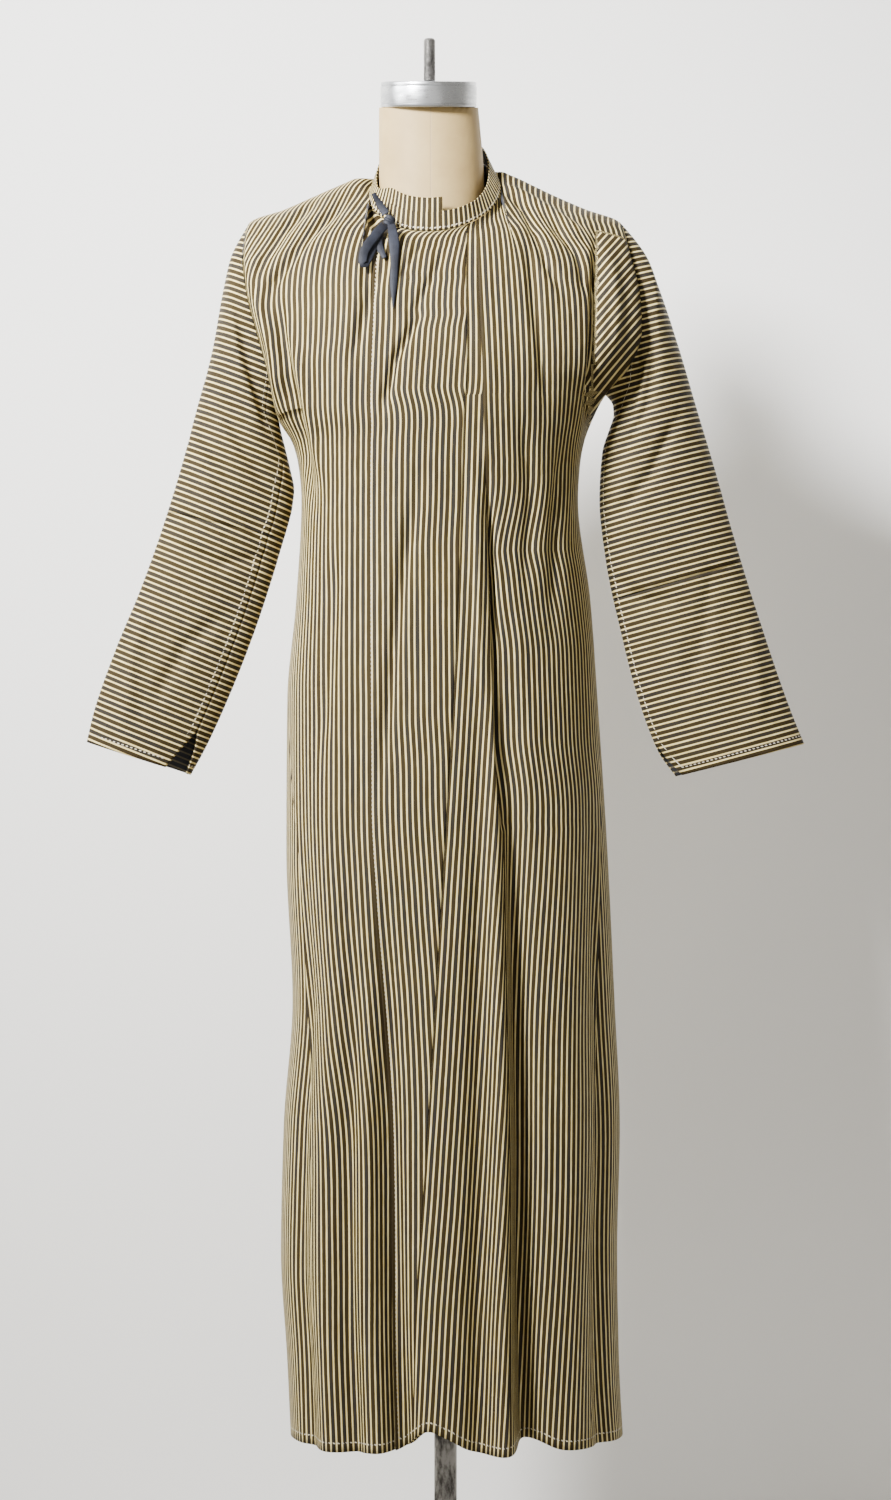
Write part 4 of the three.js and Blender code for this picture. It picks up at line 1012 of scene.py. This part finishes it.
def seam_half(s, gap=SEAM_GAP):
    gusset = mix(GUSSET["half"], GUSSET["tip"], s / GUSSET["end"]) + gap / 2
    opened = np.clip((s - VENT["start"]) / (CUFF - VENT["start"]), 0, 1) ** VENT["curve"]
    vent = gap + VENT["half"] * opened
    plain = mix(GUSSET["tip"] + gap / 2, gap, ease((s - GUSSET["end"]) / 0.15))
    return np.where(s < GUSSET["end"], gusset, np.where(s > VENT["start"], vent, plain))


def sleeve_sheet(arm, side, degrees, s):
    """Points of a sleeve with its creases."""
    degrees = degrees + 0 * s
    s = s + 0 * degrees
    points = sleeve_point(arm, degrees, s)
    push = crease_at(points[..., 0], points[..., 2], SLEEVE_CREASES[side])
    push = push * (0.35 + 0.65 * (np.sin(np.radians(degrees)) > 0)) * ease(s / 0.8)
    step = 0.02
    du = sleeve_point(arm, degrees + 0.5, s) - sleeve_point(arm, degrees - 0.5, s)
    below, above = np.minimum(CUFF, s + step), np.maximum(0, s - step)
    dv = sleeve_point(arm, degrees, below) - sleeve_point(arm, degrees, above)
    normal = np.cross(du, dv) * arm["sign"]
    normal /= np.maximum(np.linalg.norm(normal, axis=-1, keepdims=True), 1e-9)
    return points + normal * push[..., None]


def sleeve_piece(name, arm, side, degrees, s, stitched):
    points = sleeve_sheet(arm, side, degrees, s)
    slope = arm["lean"] / math.hypot(1, arm["lean"])
    fall = 1 / math.hypot(1, arm["lean"])
    stripe = (points[..., 0] * arm["sign"] * slope - points[..., 2] * fall) / PITCH
    along = step_lengths(points, 1) / PITCH
    edge = np.full(points.shape[:2], 90.0)
    if stitched:
        edge = step_lengths(points[:, ::-1], 1)[:, ::-1] + 2
        if name.endswith("lower"):
            cuff = step_lengths(points[::-1], 0)[::-1]
            edge = np.minimum(edge, cuff)
    cloth(name, points, stripe, along, edge, name, out=arm["sign"])


def sleeve(side, arm):
    gap = SEAM / 2 / 60
    turn = np.linspace(0, 1, 121)[None, :]

    def tube(rows):
        s = rows[:, None]
        half = seam_half(s)
        return seam_centre(arm, s) + half + turn * (360 - 2 * half), s

    upper = np.r_[np.linspace(0, GUSSET["end"], 41), np.linspace(GUSSET["end"], arm["piecing"] - gap, 41)[1:]]
    lower = np.linspace(arm["piecing"] + gap, CUFF, 91)
    sleeve_piece(f"sleeve_{side}_upper", arm, side, *tube(upper), True)
    sleeve_piece(f"sleeve_{side}_lower", arm, side, *tube(lower), True)
    s = np.linspace(0, GUSSET["end"], 41)[:, None]
    half = mix(GUSSET["half"], GUSSET["tip"], s / GUSSET["end"]) - GUSSET["gap"]
    degrees = seam_centre(arm, s) + mix(-half, half, np.linspace(0, 1, 41)[None, :])
    sleeve_piece(f"gusset_{side}", arm, side, degrees, s, False)


# ---------------------------------------------------------------- neckband and tie
BAND = {"start": 7.5, "end": -405, "lean": 3, "left_lean": 13, "right_lean": 8, "rise": 15, "inset": 2.6}


def neckband():
    degrees = np.linspace(BAND["start"], BAND["end"], 331)[None, :]
    up = np.linspace(0, 1, 15)[:, None]
    degrees = degrees + 0 * up
    x, y, z = neckline(degrees)
    turn = np.radians(degrees)
    under = np.where(degrees > -90, ease((degrees + 78) / 33), 0)
    height = BAND_HEIGHT + BAND["rise"] * under
    sideways = np.abs(np.sin(turn)) ** 3
    lean = mix(BAND["lean"], np.where(np.sin(turn) > 0, BAND["left_lean"], BAND["right_lean"]), sideways)
    inward = BAND["inset"] * under + lean * height / BAND_HEIGHT * up
    x = x - np.sin(turn) * inward
    y = y + np.cos(turn) * inward
    z = z + 0.9 + 1.5 * under + height * up
    points = np.stack([x, y, z], -1)
    run = step_lengths(points, 1)[:1] + 0 * up
    rise = step_lengths(points, 0)
    cloth("neckband", points, run / PITCH, rise / PITCH, rise + 7, "neckband", out=-1)


def smooth_path(points, count):
    """Evenly spaced points on a rounded path."""
    path = np.array(points, float)
    for _ in range(4):
        quarter = mix(path[:-1], path[1:], 0.25)
        three = mix(path[:-1], path[1:], 0.75)
        path = np.vstack([path[:1], np.stack([quarter, three], 1).reshape(-1, 3), path[-1:]])
    run = np.r_[0, np.cumsum(np.linalg.norm(np.diff(path, axis=0), axis=1))]
    at = np.linspace(0, run[-1], count)
    return np.stack([np.interp(at, run, path[:, k]) for k in range(3)], -1)


FRONT_TOP = 1572.0  # above this height the front's depth stays the same


def cloth_front(x, z):
    x = np.asarray(x, float)
    return depth_at(x, np.minimum(z, FRONT_TOP), 1)


TIES = {
    "tie_stem": [(-80, 1601, 7), (-74, 1590, 5), (-66, 1578, 7)],
    "tie_long_tail": [(-60, 1565, 11), (-57, 1548, 9), (-56, 1530, 6.5), (-57, 1498, 3.5), (-57.5, 1468, 3)],
    "tie_short_tail": [(-70, 1562, 6), (-74, 1549, 5), (-73, 1537, 4.5), (-67, 1525, 4)],
    "tie_loop": [
        (-67, 1564, 11), (-79, 1549, 13), (-91, 1531, 13),
        (-91, 1513, 9), (-83, 1526, 6), (-75, 1548, 6),
    ],
}
TIE_WIDTHS = {
    "tie_stem": (5, 6, 8, 9, 9),
    "tie_long_tail": (9, 12, 9, 8, 1.5),
    "tie_short_tail": (7, 8, 8, 8, 5),
    "tie_loop": (10, 11, 10, 8, 7),
}


def ribbon(name, rows):
    path = [(x, float(cloth_front(x, z)) - off, z) for x, z, off in rows]
    line = smooth_path(path, 49)
    ahead = np.gradient(line, axis=0)
    across = np.stack([ahead[:, 2], 0 * ahead[:, 0], -ahead[:, 0]], -1)
    across /= np.linalg.norm(across, axis=1, keepdims=True)
    u = np.linspace(-0.5, 0.5, 9)
    cup = np.array([0, -1, 0]) * (1 - 4 * u[None, :, None] ** 2) * 0.8
    width = np.interp(np.linspace(0, 4, 49), np.arange(5), TIE_WIDTHS[name])
    points = line[:, None] + across[:, None] * (u[None, :, None] * width[:, None, None]) + cup
    zero = np.zeros(points.shape[:2])
    cloth(name, points, zero, zero, zero + 90, name, slot="ribbon")


def knot():
    low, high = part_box("tie_knot")
    centre = [(a + b) / 2 for a, b in zip(low, high)]
    bpy.ops.object.select_all(action="DESELECT")
    bpy.ops.mesh.primitive_uv_sphere_add(segments=40, ring_count=24, radius=1, location=(0, 0, 0))
    piece = bpy.context.object
    piece.name = "tie_knot_wraps"
    co = np.empty(len(piece.data.vertices) * 3)
    piece.data.vertices.foreach_get("co", co)
    co = co.reshape(-1, 3)
    groove = 1 + 0.09 * np.cos(9 * (co[:, 2] + 0.5 * co[:, 0]))
    half = np.array([(b - a) / 2 for a, b in zip(low, high)]) * 0.96
    co = co * half * groove[:, None] + np.array(centre)
    piece.data.vertices.foreach_set("co", co.ravel())
    piece.data.materials.append(MATERIALS["ribbon"])
    piece.data.polygons.foreach_set("use_smooth", [True] * len(piece.data.polygons))
    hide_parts("tie_knot")
    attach(piece, "root")


# ---------------------------------------------------------------- the dress form and its stand
def turned(name, profile, node, slot, sides=96, place=None):
    """A turned piece from a profile of (radius, height) in millimetres, set at a node's axis."""
    bpy.ops.object.select_all(action="DESELECT")
    rows = np.array([(0.0, profile[0][1]), *profile, (0.0, profile[-1][1])])
    angle = np.linspace(0, 2 * np.pi, sides + 1)
    points = np.stack(
        [rows[:, :1] * np.cos(angle), rows[:, :1] * np.sin(angle), rows[:, 1:] + 0 * angle[None, :]], -1
    )
    if place is not None:
        points = place(points)
    piece, _, _ = sheet_mesh(name, points)
    bpy.ops.object.mode_set(mode="EDIT")
    bpy.ops.mesh.select_all(action="SELECT")
    bpy.ops.mesh.remove_doubles(threshold=1e-6)
    bpy.ops.mesh.normals_make_consistent(inside=False)
    bpy.ops.object.mode_set(mode="OBJECT")
    bpy.ops.object.shade_smooth_by_angle(angle=math.radians(32))
    piece.data.materials.clear()
    piece.data.materials.append(MATERIALS[slot])
    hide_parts(node)
    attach(piece, "root")
    return piece


def smooth_form():
    """The form's own shape with its facets rounded, apart from its rims."""
    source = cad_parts["form_body"]
    piece = source.copy()
    piece.data = source.data.copy()
    piece.name = "form_shell"
    piece.parent = None
    piece.matrix_world = source.matrix_world.copy()
    bpy.context.scene.collection.objects.link(piece)
    bpy.ops.object.select_all(action="DESELECT")
    piece.select_set(True)
    bpy.context.view_layer.objects.active = piece
    bpy.ops.object.transform_apply(location=True, rotation=True, scale=True)
    bpy.ops.object.mode_set(mode="EDIT")
    bpy.ops.mesh.select_all(action="SELECT")
    bpy.ops.mesh.remove_doubles(threshold=1e-6)
    bpy.ops.mesh.normals_make_consistent(inside=False)
    bpy.ops.mesh.select_all(action="DESELECT")
    bpy.ops.mesh.select_mode(type="EDGE")
    bpy.ops.mesh.edges_select_sharp(sharpness=math.radians(50))
    bpy.ops.transform.edge_crease(value=1)
    bpy.ops.object.mode_set(mode="OBJECT")
    apply(piece, "SUBSURF", "Round", levels=2, render_levels=2)
    bpy.ops.object.shade_smooth_by_angle(angle=math.radians(40))
    piece.data.materials.clear()
    piece.data.materials.append(MATERIALS["form_canvas"])
    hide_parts("form_body")
    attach(piece, "root")


PLATE = {"radius": 54, "height": 28.5, "tilt": 0.15, "z": 1705, "x": -19, "y": -6}
ROD = {"radius": 6.75, "top": 1782, "x": -18, "thread": 1.5}
POLE_RADIUS = 12.7
BASE_RADIUS = 205


def plate_place(points):
    c, s = math.cos(PLATE["tilt"]), math.sin(PLATE["tilt"])
    x, y, z = points[..., 0], points[..., 1], points[..., 2]
    return np.stack([x + PLATE["x"], y * c - z * s + PLATE["y"], y * s + z * c + PLATE["z"]], -1)


def stand():
    r, h = PLATE["radius"], PLATE["height"]
    rim = [
        (r - 1.5, 0), (r - 0.5, 0.4), (r, 1.5), (r, 3.2),
        (r - 0.5, 3.5), (r - 0.5, 4.0), (r, 4.3), (r, h - 6),
    ]
    lip = [(r - 0.3, h - 5.2), (r - 0.9, h - 5), (r - 0.9, h - 4.4), (r - 0.4, h - 4.1), (r - 0.4, h - 1.6)]
    top = [(r - 0.9, h - 0.6), (r - 2.4, h - 0.1), (r - 4, h), (20, h), (19, h - 0.3), (18, h)]
    turned("turned_plate", rim + lip + top, "neck_plate", "plate_metal", place=plate_place)

    foot = PLATE["z"] + PLATE["height"] + 1.5
    turns = int((ROD["top"] - 2 - foot) / ROD["thread"])
    profile = [(ROD["radius"] - 0.5, foot)]
    for k in range(turns):
        z = foot + k * ROD["thread"]
        profile += [(ROD["radius"] - 0.6, z + 0.2), (ROD["radius"], z + 0.2 + ROD["thread"] / 2)]
    profile += [(ROD["radius"] - 0.8, ROD["top"] - 1), (ROD["radius"] - 1.6, ROD["top"])]
    shift = np.array([ROD["x"], PLATE["y"], 0])
    turned("cut_thread_rod", profile, "threaded_rod", "stand_steel", 48, lambda p: p + shift)

    low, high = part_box("pole")
    bottom, top_z = low[2] / MM, high[2] / MM
    bare = [(POLE_RADIUS - 0.6, bottom), (POLE_RADIUS, bottom + 0.6), (POLE_RADIUS, top_z)]
    turned("pole_tube", bare, "pole", "stand_steel", 64)

    r = BASE_RADIUS
    skin = [
        (r - 3, 0), (r - 0.8, 0.8), (r, 3), (r, 5), (r - 0.9, 7.2),
        (r - 3, 8), (188, 8.8), (150, 11), (80, 16),
    ]
    hub = [
        (45, 20), (36, 23), (30, 27), (27, 33), (26, 46),
        (25.4, 55), (24.6, 57.2), (23, 58), (13.1, 58), (13.1, 37.8),
    ]
    turned("cast_base", skin + hub, "base", "base_iron", 128)


# ---------------------------------------------------------------- floor, wall, light and camera
def studio():
    bpy.ops.mesh.primitive_plane_add(size=1, location=(0, 0, 0))
    floor = bpy.context.object
    floor.name = "studio_floor"
    floor.scale = (9, 9, 1)
    bpy.ops.mesh.primitive_plane_add(size=1, location=(0, 0.5, 2), rotation=(math.radians(90), 0, 0))
    wall = bpy.context.object
    wall.name = "studio_wall"
    wall.scale = (9, 5, 1)
    for piece, look in ((floor, "floor"), (wall, "wall")):
        piece.data.materials.append(MATERIALS[look])
    key = area_light("key", (-1.6, -2.0, 2.8), (0.0, 0, 1.6), 0.7, 64, (0.99, 0.99, 1))
    key.spread = math.radians(72)
    area_light("front_fill", (0.9, -3.9, 1.4), (0, 0, 1.0), 2.4, 8, (1, 0.985, 0.96))
    area_light("top_left", (-2.1, -0.7, 2.3), (0.1, 0.5, 1.2), 1.2, 62, (0.98, 0.99, 1))
    world = bpy.data.worlds.new("pale_room")
    bpy.context.scene.world = world
    world.use_nodes = True
    world.node_tree.nodes["Background"].inputs["Color"].default_value = (1.0, 0.965, 0.90, 1)
    world.node_tree.nodes["Background"].inputs["Strength"].default_value = 0.46


def area_light(name, place, target, size, energy, colour):
    data = bpy.data.lights.new(name, "AREA")
    data.shape = "DISK"
    data.size = size
    data.energy = energy
    data.color = colour
    lamp = bpy.data.objects.new(name, data)
    bpy.context.scene.collection.objects.link(lamp)
    lamp.location = place
    away = [a - b for a, b in zip(place, target)]
    flat = math.hypot(away[0], away[1])
    lamp.rotation_euler = (math.atan2(flat, away[2]), 0, math.atan2(away[0], -away[1]))
    return data


CAMERA = {"distance": 4.5, "height": 0.983, "view": 1.6875}


def camera():
    data = bpy.data.cameras.new("front_view")
    data.sensor_fit = "VERTICAL"
    data.angle = 2 * math.atan(CAMERA["view"] / 2 / CAMERA["distance"])
    eye = bpy.data.objects.new("front_view", data)
    bpy.context.scene.collection.objects.link(eye)
    eye.location = (0, -CAMERA["distance"], CAMERA["height"])
    eye.rotation_euler = (math.radians(90), 0, 0)
    bpy.context.scene.camera = eye


body()
side_gore("side_gore_right", "sideRight", True)
side_gore("side_gore_left", "sideLeft", False)
for side, arm in SLEEVES.items():
    sleeve(side, arm)
neckband()
knot()
for name, rows in TIES.items():
    ribbon(name, rows)
smooth_form()
stand()
studio()
camera()
